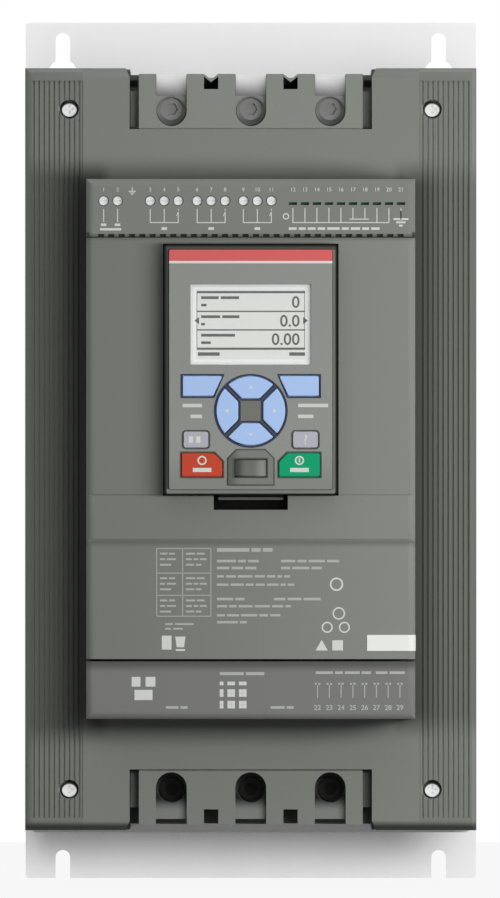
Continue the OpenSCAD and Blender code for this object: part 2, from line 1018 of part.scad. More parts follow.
// Moulded shroud: a deep open shell with ribbed bands, terminal notches and screw bosses
module front_shroud() {
    band_w = shroud_w / 2 - shroud_r + 1 - band_x;
    color(housing)
        difference() {
            union() {
                difference() {
                    soft_box(shroud_w, shroud_h, chassis_front, shroud_front, shroud_r);
                    soft_box(shroud_w - 2 * shroud_wall, shroud_h - 2 * shroud_wall, chassis_front - over,
                        shroud_inner, shroud_r - shroud_wall);
                    for (x = [-1, 1])
                        slab(band_w, shroud_front - 0.4, shroud_front + over, rib_margin - shroud_h / 2,
                            shroud_h / 2 - rib_margin, x * (band_x + band_w / 2));
                    shroud_ribs(-1);
                    shroud_ribs(1);
                }
                for (x = [-1, 1], z = [-1, 1]) {
                    rod(boss_r, post_top, shroud_front - 1.5, x * screw_x, z * screw_z);
                    slab(2.4, flange_front, shroud_inner + 0.5,
                        z > 0 ? shroud_h / 2 - notch_h : -shroud_h / 2 + 2,
                        z > 0 ? shroud_h / 2 - 2 : notch_h - shroud_h / 2, x * (notch_w / 2 + 1.2));
                }
            }
            for (x = [-1, 1], z = [-1, 1]) {
                rod(recess_r, seat_d, shroud_front + over, x * screw_x, z * screw_z);
                rod(screw_r + 0.3, post_top - over, shroud_front, x * screw_x, z * screw_z);
            }
            for (z = [-1, 1])
                slab(notch_w, chassis_front - over, shroud_front + over,
                    z > 0 ? shroud_h / 2 - notch_h : -shroud_h / 2 - over,
                    z > 0 ? shroud_h / 2 + over : notch_h - shroud_h / 2);
            for (x = [-1, 1], z = [-1, 1])
                front_outline(flange_front, shroud_front + over)
                    polygon([[x * (notch_w / 2 - 1), z * (shroud_h / 2 - 4)],
                        [x * notch_w / 2, z * (shroud_h / 2 - 4)],
                        [x * (notch_w / 2 + 2), z * (shroud_h / 2 + 0.5)],
                        [x * (notch_w / 2 - 1), z * (shroud_h / 2 + 0.5)]]);
            slab(panel_w - 14, shroud_inner - over, shroud_front + over, 7 - panel_h / 2, panel_h / 2 - 7);
        }
}

// Four cross-recessed screws that hold the shroud on the chassis posts
module shroud_screws() {
    color(steel)
        for (x = [-1, 1], z = [-1, 1])
            difference() {
                union() {
                    rod(head_r, seat_d, seat_d + head_t, x * screw_x, z * screw_z);
                    rod(screw_r, seat_d - screw_len, seat_d + over, x * screw_x, z * screw_z);
                }
                slab(3.8, seat_d + head_t - 1.6, seat_d + head_t + over, z * screw_z - 0.5,
                    z * screw_z + 0.5, x * screw_x);
                slab(1, seat_d + head_t - 1.6, seat_d + head_t + over, z * screw_z - 1.9,
                    z * screw_z + 1.9, x * screw_x);
            }
}

// The whole raised panel as a shell, before it is parted into three covers
module panel_shell() {
    difference() {
        soft_box(panel_w, panel_h, shroud_front, panel_front, cover_r);
        soft_box(panel_w - 2 * cover_wall, panel_h - 2 * cover_wall, shroud_front - over, panel_inner,
            cover_r - cover_wall);
    }
}

// Middle cover with the keypad opening, the release slot and two grooves
module front_cover() {
    color(cover)
        difference() {
            union() {
                intersection() {
                    panel_shell();
                    slab(panel_w + 2, shroud_front - over, panel_front + over, front_low, front_top);
                }
                for (x = [-1, 1], z = [-1, 1])
                    rod(boss_d / 2, control_front, panel_inner + 0.5, x * control_boss_x, z * control_boss_z);
                slab(panel_w - 2 * cover_wall + 1, panel_inner - 9, panel_inner + 0.5, front_low,
                    front_low + 2);
                slab(panel_w - 2 * cover_wall + 1, panel_inner - 9, panel_inner + 0.5, front_top - 1.2,
                    front_top);
            }
            slab(bay_w, panel_inner - over, panel_front + over, keypad_z - bay_h / 2, keypad_z + bay_h / 2);
            slab(2 * slot_half, panel_inner - over, panel_front + over, slot_low, keypad_z);
            slab(panel_w + 2, panel_front - 0.6, panel_front + over, line_z - 0.35, line_z + 0.35);
            slab(panel_w + 2, panel_front - 1, panel_front + over, groove_z - 0.8, groove_z + 0.8);
            for (x = [-1, 1], z = [-1, 1])
                rod(board_screw_r + screw_fit, control_front - over, control_front + 12, x * control_boss_x,
                    z * control_boss_z);
        }
}

// Centres of all screw poles behind the top cover
function pole_x(n, mid) = [for (i = [0 : n - 1]) mid + (i - (n - 1) / 2) * pole_pitch];
relay_poles = concat(pole_x(3, relay_x[0]), pole_x(3, relay_x[1]), pole_x(3, relay_x[2]));
screw_poles = concat(pole_x(2, supply_x), relay_poles);
signal_poles = [for (i = [0 : 9]) signal_x + (i - 4.5) * signal_pitch];
comm_poles = [for (i = [0 : 7]) comm_x + (i - 3.5) * comm_pitch];

// Top cover with holes over the control terminals and a row of dashes
module terminal_cover() {
    color(cover)
        difference() {
            intersection() {
                panel_shell();
                slab(panel_w + 2, shroud_front - over, panel_front + over, top_cover_z, panel_h);
            }
            for (x = screw_poles) {
                rod(pole_hole_r, panel_inner - over, panel_front + over, x, pole_z);
                slab(wire_w, wire_d - wire_w / 2, wire_d + wire_w / 2, panel_h / 2 - cover_wall - over,
                    panel_h / 2 + over, x);
            }
            for (x = signal_poles) {
                slab(3.6, panel_inner - over, panel_front + over, pole_z - 1.8, pole_z - 0.6, x);
                slab(wire_w, wire_d - wire_w / 2, wire_d + wire_w / 2, panel_h / 2 - cover_wall - over,
                    panel_h / 2 + over, x);
            }
            for (i = [0 : dash_n - 1])
                slab(dash_w, panel_front - dash_deep, panel_front + over, top_cover_z - over,
                    top_cover_z + dash_h, (i - (dash_n - 1) / 2) * dash_pitch);
        }
}

// Bottom cover over the bottom terminals
module comm_cover() {
    color(cover)
        difference() {
            intersection() {
                panel_shell();
                slab(panel_w + 2, shroud_front - over, panel_front + over, -panel_h, low_cover_z);
            }
            for (x = comm_poles)
                slab(wire_w, wire_d - wire_w / 2, wire_d + wire_w / 2, -panel_h / 2 - over,
                    cover_wall + over - panel_h / 2, x);
        }
}

// Black tray behind the front cover that the keypad plugs into
module keypad_cradle() {
    color(black)
        difference() {
            union() {
                slab(bay_w + 2 * cradle_t, cradle_floor - cradle_t, panel_inner,
                    keypad_z - bay_h / 2 - cradle_t, keypad_z + bay_h / 2 + 1.2);
                slab(2 * slot_half + 2 * cradle_t, cradle_floor - cradle_t, panel_inner, slot_low - cradle_t,
                    keypad_z);
            }
            slab(bay_w, cradle_floor, panel_front, keypad_z - bay_h / 2, keypad_z + bay_h / 2);
            slab(2 * slot_half, cradle_floor, panel_front, slot_low, keypad_z);
            slab(plug_w + 3, cradle_floor - cradle_t - over, cradle_floor + over, plug_z - plug_h / 2 - 1.5,
                plug_z + plug_h / 2 + 1.5);
        }
}

// Control board with its small relays, a processor and the link header at the back
module control_board() {
    color(board)
        difference() {
            union() {
                slab(control_w, control_back, control_front, -control_h / 2, control_h / 2);
                for (x = relay_x)
                    slab(small_relay_w, control_back + root, control_front + small_relay_t,
                        small_relay_z - small_relay_h / 2, small_relay_z + small_relay_h / 2,
                        x - small_relay_shift);
                slab(chip_w, control_back + root, control_front + chip_t, chip_z - chip_w / 2,
                    chip_z + chip_w / 2, chip_x);
                rod(buffer_r, control_back + root, control_front + buffer_t, buffer_x, buffer_z);
                slab(link_w + 6, control_back - link_t, control_front - root, link_z - 4, link_z + 4);
            }
            for (x = [-1, 1], z = [-1, 1])
                rod(board_screw_r + 0.2, control_back - over, control_front + over, x * control_boss_x,
                    z * control_boss_z);
        }
}

// One terminal body on the control board, with its wire holes
module pole_body(n, pitch, x, up) {
    low = up > 0 ? pole_low : -pole_top;
    difference() {
        slab(n * pitch + 1, control_front, pole_front, low, low + pole_top - pole_low, x);
        for (i = [0 : n - 1])
            pillar(1.4, up > 0 ? pole_top - 9 : -pole_top - over, up > 0 ? pole_top + over : 9 - pole_top,
                x + (i - (n - 1) / 2) * pitch, wire_d);
    }
}

// Supply and relay terminals: one pair and three groups of three
module screw_terminals() {
    color(board)
        difference() {
            union() {
                pole_body(2, pole_pitch, supply_x, 1);
                for (x = relay_x)
                    pole_body(3, pole_pitch, x, 1);
            }
            for (x = screw_poles)
                rod(pole_screw_r + screw_fit, pole_front - pole_screw_len - over, pole_front + over, x,
                    pole_z);
        }
}

module signal_terminals() {
    color(board)
        pole_body(10, signal_pitch, signal_x, 1);
}

module comm_terminals() {
    color(board)
        pole_body(8, comm_pitch, comm_x, -1);
}

// Slotted screws of the supply and relay terminals
module terminal_screws() {
    color(steel)
        for (x = screw_poles)
            difference() {
                union() {
                    rod(pole_head_r, pole_front, pole_front + pole_head_t, x, pole_z);
                    rod(pole_screw_r, pole_front - pole_screw_len, pole_front + over, x, pole_z);
                }
                slab(3 * pole_head_r, pole_front + pole_head_t - over, pole_front + pole_head_t + over,
                    pole_z - 0.35, pole_z + 0.35, x);
            }
}

// Socket on the control board that takes the keypad's plug
module keypad_socket() {
    color(black)
        difference() {
            slab(plug_w + 4.4, control_front, cradle_floor - cradle_t - 1, plug_z - 7, plug_z + 7);
            slab(plug_w + 2 * gap, control_front + 2, cradle_floor, plug_z - plug_h / 2 - gap,
                plug_z + plug_h / 2 + gap);
        }
}

// Blank marker at the right edge of the front cover
module marker_label() {
    color([0.92, 0.93, 0.91])
        slab(marker_w, panel_front, panel_front + marker_t, marker_low, marker_low + marker_h,
            panel_w / 2 - cover_r - marker_w / 2);
}

// Black rear tray of the keypad, with board posts and a release tongue
module keypad_back() {
    color(black) {
        front_outline(tray_back, tray_back + tray_t)
            translate([0, keypad_z])
                round_rect(keypad_w, keypad_h, tray_r);
        front_outline(tray_back, tray_front)
            translate([0, keypad_z])
                difference() {
                    round_rect(keypad_w, keypad_h, tray_r);
                    round_rect(keypad_w - 2 * keypad_rim, keypad_h - 2 * keypad_rim, tray_r);
                }
        for (x = [-1, 1], z = [-1, 1])
            rod(2.5, tray_back + 1, kb_back, x * 31, keypad_z + z * 48);
        slab(28, tray_back + 6, tray_back + 8, keypad_z - keypad_h / 2 - 2.2, keypad_z - keypad_h / 2 + 1);
    }
}

// Outlines of the keys, each grown by g on every side
module soft_outline(side, g) {
    translate([side * soft_x, soft_z])
        polygon([[side * (soft_w / 2 + g), soft_h / 2 + g], [side * (-soft_w / 2 - g), soft_h / 2 + g],
            [side * (soft_slant - soft_w / 2 - 0.6 * g), -soft_h / 2 - g],
            [side * (soft_w / 2 + g), -soft_h / 2 - g]]);
}

module nav_outline(turn, g) {
    cut = (nav_gap / 2 - g) * sqrt(2);
    low = nav_core - g;
    high = nav_r + g + 1;
    translate([0, nav_z])
        intersection() {
            circle(nav_r + g);
            rotate(turn)
                polygon([[cut - low, low], [low - cut, low], [high - cut, high], [cut - high, high]]);
        }
}

module small_outline(side, g) {
    translate([side * small_x, small_z])
        round_rect(small_w + 2 * g, small_h + 2 * g, small_r + g);
}

module run_outline(side, g) {
    translate([side * run_x, run_z])
        polygon([[side * (run_w / 2 + g), run_h / 2 + g],
            [side * (run_slant - run_w / 2 - 0.4 * g), run_h / 2 + g],
            [side * (-run_w / 2 - g), run_h / 2 - run_slant + 0.4 * g],
            [side * (-run_w / 2 - g), -run_h / 2 - g], [side * (run_w / 2 + g), -run_h / 2 - g]]);
}

// Chamfered frame around the service flap
module usb_frame_outline() {
    translate([0, usb_z])
        polygon([[-usb_half, usb_low], [usb_half, usb_low], [usb_half, usb_high - usb_slant],
            [usb_half - usb_slant, usb_high], [usb_slant - usb_half, usb_high],
            [-usb_half, usb_high - usb_slant]]);
}

// Grey face of the keypad with the openings for the window, the keys and the flap
module keypad_front() {
    color(cover)
        difference() {
            union() {
                front_outline(face_back, keypad_face)
                    translate([0, keypad_z])
                        round_rect(face_w, face_h, 1);
                front_outline(kb_front, keypad_face)
                    translate([0, keypad_z])
                        difference() {
                            round_rect(face_w, face_h, 1);
                            square([face_w - 3, face_h - 3], center = true);
                        }
                front_outline(face_back, usb_frame_front)
                    usb_frame_outline();
            }
            slab(window_w + 0.4, window_back, keypad_face + over, window_z - window_h / 2 - 0.2,
                window_z + window_h / 2 + 0.2);
            slab(window_w - 2, face_back - over, keypad_face, window_z - window_h / 2 + 1,
                window_z + window_h / 2 - 1);
            front_outline(face_back - over, keypad_face + over) {
                soft_outline(-1, key_gap);
                soft_outline(1, key_gap);
                for (a = [0, 90, 180, 270])
                    nav_outline(a, key_gap);
                small_outline(-1, key_gap);
                small_outline(1, key_gap);
                run_outline(-1, key_gap);
                run_outline(1, key_gap);
            }
            slab(flap_w + 2 * flap_gap, face_back - over, usb_frame_front + over,
                usb_z - flap_h / 2 - flap_gap, usb_z + flap_h / 2 + flap_gap);
            axle(pin_r + run_fit, flap_w + 2 * pin_len + 0.4, hinge_d, hinge_z);
        }
}

// Keypad board held between the tray posts and the face's skirt
module keypad_board() {
    color(board)
        slab(kb_w, kb_back, kb_front, keypad_z - kb_h / 2, keypad_z + kb_h / 2);
}

// Display with its light frame
module display_module() {
    color([0.85, 0.86, 0.88])
        slab(display_w, kb_front, face_back - gap, window_z - display_h / 2, window_z + display_h / 2);
}

// Clear window on a ledge in the keypad's face
module display_window() {
    color([0.9, 0.93, 0.95])
        slab(window_w, window_back, window_back + window_t, window_z - window_h / 2, window_z + window_h / 2);
}

// Push switches on the keypad board, one under each key
module key_switches() {
    color(black)
        for (p = [[-soft_x, soft_z], [soft_x, soft_z], [0, nav_z + 10], [0, nav_z - 10], [-10, nav_z],
                [10, nav_z], [-small_x, small_z], [small_x, small_z], [-run_x, run_z], [run_x, run_z]]) {
            slab(5.6, kb_front, switch_top - 0.8, p[1] - 2.8, p[1] + 2.8, p[0]);
            rod(1.6, kb_front, switch_top, p[0], p[1]);
        }
}

// Service socket on the keypad board, behind the flap
module usb_socket() {
    color(tin)
        difference() {
            slab(9, kb_front, face_back - 0.8, usb_z - 2.4, usb_z + 2.4);
            slab(7.4, kb_front + 1.2, face_back, usb_z - 1.7, usb_z + 1.7);
            slab(9.4, face_back - 2, face_back, hinge_z - 2, hinge_z + 1.6);
        }
}

// Flap over the service socket, on two pins at its lower edge
module usb_cover() {
    color(cover) {
        slab(flap_w, hinge_d - hinge_r, hinge_d + hinge_r, hinge_z, usb_z + flap_h / 2);
        axle(hinge_r, flap_w, hinge_d, hinge_z);
        axle(pin_r, flap_w + 2 * pin_len, hinge_d, hinge_z);
    }
}

// Plug on the keypad's back
module keypad_plug() {
    color([0.85, 0.85, 0.82])
        slab(plug_w, cradle_floor - cradle_t - 10, tray_back, plug_z - plug_h / 2, plug_z + plug_h / 2);
}

// A key: the cap passes through the face and a flange behind it keeps it in
module softkey(side) {
    color(lilac) {
        front_outline(key_back, key_front)
            soft_outline(side, 0);
        front_outline(key_back, key_back + flange_t)
            soft_outline(side, key_flange);
    }
}

module softkey_left() {
    softkey(-1);
}

module softkey_right() {
    softkey(1);
}

module nav_key(turn) {
    color(lilac) {
        front_outline(key_back, key_front)
            nav_outline(turn, 0);
        front_outline(key_back, key_back + flange_t)
            nav_outline(turn, key_flange);
    }
}

module nav_up() {
    nav_key(0);
}

module nav_left() {
    nav_key(90);
}

module nav_down() {
    nav_key(180);
}

module nav_right() {
    nav_key(270);
}

module small_key(side) {
    color(light) {
        front_outline(key_back, key_front)
            small_outline(side, 0);
        front_outline(key_back, key_back + flange_t)
            small_outline(side, key_flange);
    }
}

module mode_key() {
    small_key(-1);
}

module info_key() {
    small_key(1);
}

module run_key(side, tint) {
    color(tint) {
        front_outline(key_back, key_front)
            run_outline(side, 0);
        front_outline(key_back, key_back + flange_t)
            run_outline(side, key_flange);
    }
}

module stop_key() {
    run_key(-1, [0.75, 0.25, 0.16]);
}

module start_key() {
    run_key(1, [0.10, 0.60, 0.42]);
}

mounting_plate();
chassis();
heat_sink();
fan_frame_left();
fan_frame_right();
fan_rotor_left();
fan_rotor_right();
fan_guards();
thyristor_module_1();
thyristor_module_2();
thyristor_module_3();
line_busbars();
load_busbars();
busbar_screws();
bypass_relay_1();
bypass_relay_2();
bypass_relay_3();
current_transformers();
line_lugs();
load_lugs();
clamp_screws();
line_terminal_block();
load_terminal_block();
terminal_guides();
board_spacers();
power_board();
board_screws();
ribbon_cable();
front_shroud();
shroud_screws();
front_cover();
terminal_cover();
comm_cover();
keypad_cradle();
control_board();
screw_terminals();
signal_terminals();
comm_terminals();
terminal_screws();
keypad_socket();
marker_label();
keypad_back();
keypad_front();
keypad_board();
display_module();
display_window();
key_switches();
usb_socket();
usb_cover();
keypad_plug();
softkey_left();
softkey_right();
nav_up();
nav_down();
nav_left();
nav_right();
mode_key();
info_key();
stop_key();
start_key();
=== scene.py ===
import math

import bmesh
import bpy
from mathutils import Matrix, Vector


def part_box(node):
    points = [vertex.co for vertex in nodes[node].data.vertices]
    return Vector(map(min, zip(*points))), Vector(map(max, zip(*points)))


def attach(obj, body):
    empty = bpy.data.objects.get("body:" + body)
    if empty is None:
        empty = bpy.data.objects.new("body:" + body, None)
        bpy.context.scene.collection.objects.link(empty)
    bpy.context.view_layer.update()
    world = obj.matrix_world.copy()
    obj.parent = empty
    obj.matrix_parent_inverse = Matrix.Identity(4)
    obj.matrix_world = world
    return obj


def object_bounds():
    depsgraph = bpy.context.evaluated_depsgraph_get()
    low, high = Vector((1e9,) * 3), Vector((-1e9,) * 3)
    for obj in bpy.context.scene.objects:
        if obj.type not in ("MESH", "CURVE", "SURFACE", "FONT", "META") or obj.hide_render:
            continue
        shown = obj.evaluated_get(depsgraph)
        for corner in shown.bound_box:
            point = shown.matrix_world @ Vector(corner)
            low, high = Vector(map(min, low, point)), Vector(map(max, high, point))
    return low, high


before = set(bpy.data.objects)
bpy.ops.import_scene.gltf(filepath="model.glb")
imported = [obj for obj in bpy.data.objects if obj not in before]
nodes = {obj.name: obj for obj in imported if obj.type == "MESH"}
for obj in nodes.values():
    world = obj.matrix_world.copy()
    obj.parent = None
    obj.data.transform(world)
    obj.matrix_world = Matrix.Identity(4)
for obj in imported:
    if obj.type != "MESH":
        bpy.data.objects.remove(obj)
cad_box = [list(corner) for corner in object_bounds()]

# Mounting plate and chassis: zinc plated sheet steel, faintly streaked from rolling.
# The plate is punched flat and bright; the chassis is folded from thinner, duller sheet and welded to it.
# Painted shade darkens the plate's front under the housing, less at its ends; the welds have tinted its back.


def srgb(red, green, blue):
    """A colour as it is seen on a screen, 0 to 255, as linear light."""
    shares = [value / 255 for value in (red, green, blue)]
    return [s / 12.92 if s <= 0.04045 else ((s + 0.055) / 1.055) ** 2.4 for s in shares] + [1.0]


def new_group(name, inputs, outputs):
    """An empty shader group with float or colour sockets."""
    group = bpy.data.node_groups.new(name, "ShaderNodeTree")
    for socket, kind, value in inputs:
        group.interface.new_socket(socket, in_out="INPUT", socket_type=kind).default_value = value
    for socket, kind in outputs:
        group.interface.new_socket(socket, in_out="OUTPUT", socket_type=kind)
    entry = group.nodes.new("NodeGroupInput")
    leave = group.nodes.new("NodeGroupOutput")
    return group, entry.outputs, leave.inputs


def scaled_noise(tree, coords, scale, detail):
    """A noise texture whose scale comes from a socket."""
    noise = tree.nodes.new("ShaderNodeTexNoise")
    noise.inputs["Detail"].default_value = detail
    tree.links.new(scale, noise.inputs["Scale"])
    tree.links.new(coords, noise.inputs["Vector"])
    return noise.outputs["Fac"]


def math_node(tree, operation, *values):
    """One math node; a value is a socket or a number."""
    node = tree.nodes.new("ShaderNodeMath")
    node.operation = operation
    for socket, value in zip(node.inputs, values):
        if isinstance(value, (int, float)):
            socket.default_value = value
        else:
            tree.links.new(value, socket)
    return node.outputs[0]


def surface_grain_group():
    """Cloudy colour, uneven polish and fine grain, shared by every moulded or rolled finish."""
    group, given, made = new_group(
        "surface_grain",
        [
            ("Colour", "NodeSocketColor", (0.5, 0.5, 0.5, 1)),
            ("Cloud", "NodeSocketFloat", 0.1),
            ("Cloud Scale", "NodeSocketFloat", 20.0),
            ("Roughness", "NodeSocketFloat", 0.5),
            ("Roughness Spread", "NodeSocketFloat", 0.1),
            ("Grain Scale", "NodeSocketFloat", 1500.0),
            ("Stretch", "NodeSocketFloat", 1.0),
        ],
        [("Colour", "NodeSocketColor"), ("Roughness", "NodeSocketFloat"), ("Height", "NodeSocketFloat")],
    )
    place = group.nodes.new("ShaderNodeTexCoord")
    squeeze = group.nodes.new("ShaderNodeCombineXYZ")
    squeeze.inputs["X"].default_value = 1.0
    squeeze.inputs["Y"].default_value = 1.0
    group.links.new(given["Stretch"], squeeze.inputs["Z"])
    stretched = group.nodes.new("ShaderNodeVectorMath")
    stretched.operation = "MULTIPLY"
    group.links.new(place.outputs["Object"], stretched.inputs[0])
    group.links.new(squeeze.outputs[0], stretched.inputs[1])
    coords = stretched.outputs[0]
    cloud = scaled_noise(group, coords, given["Cloud Scale"], 4.0)
    grain = scaled_noise(group, coords, given["Grain Scale"], 2.0)
    swing = math_node(group, "SUBTRACT", cloud, 0.5)
    speckle = math_node(group, "MULTIPLY", math_node(group, "SUBTRACT", grain, 0.5), 0.5)
    change = math_node(group, "MULTIPLY", math_node(group, "ADD", swing, speckle), given["Cloud"])
    factor = math_node(group, "ADD", change, 1.0)
    tint = group.nodes.new("ShaderNodeVectorMath")
    tint.operation = "SCALE"
    group.links.new(given["Colour"], tint.inputs[0])
    group.links.new(factor, tint.inputs["Scale"])
    group.links.new(tint.outputs[0], made["Colour"])
    uneven = math_node(group, "MULTIPLY", swing, given["Roughness Spread"])
    group.links.new(math_node(group, "ADD", uneven, given["Roughness"]), made["Roughness"])
    group.links.new(grain, made["Height"])
    return group


surface_grain = surface_grain_group()


def finish(name, colour, roughness=0.5, metallic=0.0, cloud=0.1, cloud_scale=20.0, spread=0.1,
           grain=1500.0, stretch=1.0, bump=0.15, specular=0.5):
    """A material whose colour, polish and fine relief come from the shared grain."""
    material = bpy.data.materials.new(name)
    material.use_nodes = True
    tree = material.node_tree
    shader = tree.nodes["Principled BSDF"]
    shader.inputs["Metallic"].default_value = metallic
    shader.inputs["Specular IOR Level"].default_value = specular
    skin = tree.nodes.new("ShaderNodeGroup")
    skin.node_tree = surface_grain
    for socket, value in (("Colour", colour), ("Cloud", cloud), ("Cloud Scale", cloud_scale),
                          ("Roughness", roughness), ("Roughness Spread", spread),
                          ("Grain Scale", grain), ("Stretch", stretch)):
        skin.inputs[socket].default_value = value
    tree.links.new(skin.outputs["Colour"], shader.inputs["Base Color"])
    tree.links.new(skin.outputs["Roughness"], shader.inputs["Roughness"])
    relief = tree.nodes.new("ShaderNodeBump")
    relief.inputs["Strength"].default_value = bump
    relief.inputs["Distance"].default_value = 0.0002
    tree.links.new(skin.outputs["Height"], relief.inputs["Height"])
    tree.links.new(relief.outputs["Normal"], shader.inputs["Normal"])
    return material


def clad(material, *names):
    """Gives CAD nodes their material."""
    for name in names:
        slots = nodes[name].data.materials
        slots.clear()
        slots.append(material)


def paint_over(material, mask, colour):
    """Mixes a colour into a finish where the mask is 1, before the grain is laid over it."""
    tree = material.node_tree
    skin = next(node for node in tree.nodes if node.type == "GROUP")
    blend = tree.nodes.new("ShaderNodeMix")
    blend.data_type = "RGBA"
    under, over = blend.inputs[6], blend.inputs[7]
    tree.links.new(mask, blend.inputs["Factor"])
    given = skin.inputs["Colour"]
    if given.is_linked:
        tree.links.new(given.links[0].from_socket, under)
    else:
        under.default_value = given.default_value
    over.default_value = colour
    tree.links.new(blend.outputs[2], given)


def axes(tree):
    """Where a point of the surface lies along the part's X, Y and Z."""
    place = tree.nodes.new("ShaderNodeTexCoord")
    parts = tree.nodes.new("ShaderNodeSeparateXYZ")
    tree.links.new(place.outputs["Object"], parts.inputs[0])
    return parts.outputs


def fade(tree, length, start, end):
    """A soft step from 0, where a length has its first value, to 1 at the second, in millimetres."""
    step = tree.nodes.new("ShaderNodeMapRange")
    step.interpolation_type = "SMOOTHSTEP"
    tree.links.new(length, step.inputs["Value"])
    step.inputs["From Min"].default_value = start / 1000
    step.inputs["From Max"].default_value = end / 1000
    return step.outputs["Result"]


def along(tree, axis, start, end):
    """A soft step along one axis of the part, from 0 at one place to 1 at the other."""
    return fade(tree, axes(tree)[axis], start, end)


def overlap(tree, first, *others):
    """The product of masks and shares, 1 only where each of them is 1."""
    product = first
    for other in others:
        product = math_node(tree, "MULTIPLY", product, other)
    return product


def distance(tree, across, up):
    """How far a point lies from a centre, from its two offsets."""
    squares = [math_node(tree, "MULTIPLY", offset, offset) for offset in (across, up)]
    return math_node(tree, "SQRT", math_node(tree, "ADD", *squares))


zinc = finish("zinc_sheet", srgb(249, 249, 249), roughness=0.24, metallic=0.85, cloud=0.03,
              cloud_scale=30.0, spread=0.1, grain=420.0, stretch=0.08, bump=0.02)
tree = zinc.node_tree
# Painted shade: the plate's front is darker under the housing, fading out toward both ends.
housing_shade = overlap(tree, along(tree, "Z", -192, -164), along(tree, "Z", -150, -164), along(tree, "Y", -1.2, -2.2))
for start, end, share in ((60, 96, 0.97), (-88, -101, 0.4)):
    shade_eased_at_ends = math_node(tree, "MULTIPLY", along(tree, "X", start, end), -share)
    housing_shade = overlap(tree, housing_shade, math_node(tree, "ADD", shade_eased_at_ends, 1.0))
paint_over(zinc, housing_shade, srgb(150, 150, 150))
WELD_SIDE = 0.094
WELD_PITCH = 0.052
WELDED_HALF = 0.17
where = axes(tree)
aside = math_node(tree, "SUBTRACT", math_node(tree, "ABSOLUTE", where["X"]), WELD_SIDE)
rise = math_node(tree, "WRAP", where["Z"], WELD_PITCH / 2, -WELD_PITCH / 2)
tint = fade(tree, distance(tree, aside, rise), 5.6, 1.2)
welded = math_node(tree, "LESS_THAN", math_node(tree, "ABSOLUTE", where["Z"]), WELDED_HALF)
paint_over(zinc, overlap(tree, tint, welded, along(tree, "Y", -1.2, -0.4)), srgb(138, 136, 140))
clad(zinc, "mounting_plate")
dull_zinc = finish("dull_zinc", srgb(208, 209, 208), roughness=0.55, metallic=0.3, cloud=0.08,
                   cloud_scale=30.0, spread=0.1, grain=420.0, stretch=0.08, bump=0.05)
tree = dull_zinc.node_tree
# Painted light: the low lip of the chassis under the terminal guides is painted near white to lift its shade.
low_lip = overlap(tree, along(tree, "Z", -145, -155), along(tree, "Y", -97, -101))
paint_over(dull_zinc, low_lip, srgb(246, 247, 246))
clad(dull_zinc, "chassis")

# Heat sink: one extruded aluminium comb, its fins toward the plate.
# The die leaves fine lines along its length; it is screwed to the plate from behind.
sink_alloy = finish("sink_alloy", srgb(196, 198, 201), roughness=0.4, metallic=1.0, cloud=0.12,
                    cloud_scale=40.0, spread=0.2, grain=900.0, stretch=0.03, bump=0.1)
clad(sink_alloy, "heat_sink")

# Fans: moulded black frames and rotors with a steel finger guard under each.
# Four long screws hold each fan under the heat sink.
fan_black = finish("fan_black", srgb(34, 34, 35), roughness=0.5, cloud=0.3, cloud_scale=60.0, grain=1800.0)
guard_steel = finish("guard_steel", srgb(190, 191, 193), roughness=0.35, metallic=1.0, cloud=0.1, grain=900.0)
clad(fan_black, "fan_frame_left", "fan_frame_right", "fan_rotor_left", "fan_rotor_right")
clad(guard_steel, "fan_guards")

# Power stage: potted thyristor modules and bypass relays in black cases, copper busbars, tinned lugs.
# The modules are screwed to the heat sink and the busbars join them to the lugs.
case_black = finish("case_black", srgb(40, 40, 42), roughness=0.55, cloud=0.25, cloud_scale=50.0,
                    grain=1600.0)
copper = finish("copper_bar", srgb(205, 140, 98), roughness=0.32, metallic=1.0, cloud=0.2,
                cloud_scale=60.0, spread=0.25, grain=700.0, stretch=0.1)
# Painted shade: the lugs' tin is dark grey, so that where it shows in the tool holes it reads as shade.
tin = finish("tinned_lug", srgb(96, 96, 95), roughness=0.65, metallic=0.3, cloud=0.12,
             cloud_scale=90.0, spread=0.2, grain=900.0, specular=0.2)
bolt_steel = finish("bolt_steel", srgb(200, 200, 202), roughness=0.28, metallic=1.0, cloud=0.12,
                    cloud_scale=150.0, spread=0.2, grain=1400.0)
clad(case_black, "thyristor_module_1", "thyristor_module_2", "thyristor_module_3", "bypass_relay_1",
     "bypass_relay_2", "bypass_relay_3", "current_transformers")
clad(copper, "line_busbars", "load_busbars")
clad(tin, "line_lugs", "load_lugs")
clad(bolt_steel, "busbar_screws", "board_spacers", "board_screws")

# Boards: lacquered green boards with their parts, and a flat grey cable between two of them.
# They stand on pillars over the relays and on bosses behind the front cover.
board_green = finish("board_green", srgb(38, 96, 62), roughness=0.35, cloud=0.25, cloud_scale=120.0,
                     grain=900.0)
cable_grey = finish("cable_grey", srgb(170, 171, 172), roughness=0.6, cloud=0.1, cloud_scale=300.0,
                    grain=1800.0)
terminal_green = finish("terminal_green", srgb(58, 122, 78), roughness=0.5, cloud=0.15, cloud_scale=80.0)
clad(board_green, "power_board", "control_board", "keypad_board")
clad(cable_grey, "ribbon_cable")
clad(terminal_green, "screw_terminals", "signal_terminals", "comm_terminals")

# Terminal blocks and their front guides: moulded in the dark grey of the shroud, held in by its notches.
# The mould leaves every edge slightly broken, which a narrow bevel shows. The ribbed bands are painted darker
# and their groove floors paler, painted shade and painted light; painted shade darkens the lower edge, the
# bands beside the panel, most at its foot, and the upper corners of the guides.

MOULD_EDGE = 0.0003
SOFT_EDGE = 0.0005


def soften(width, *names, angle=35.0, segments=2):
    """Rounds the sharp edges of CAD nodes without touching their meshes."""
    for name in names:
        merge = nodes[name].modifiers.new("weld", "WELD")
        merge.merge_threshold = 0.00001
        bevel = nodes[name].modifiers.new("bevel", "BEVEL")
        bevel.width = width
        bevel.segments = segments
        bevel.limit_method = "ANGLE"
        bevel.angle_limit = math.radians(angle)


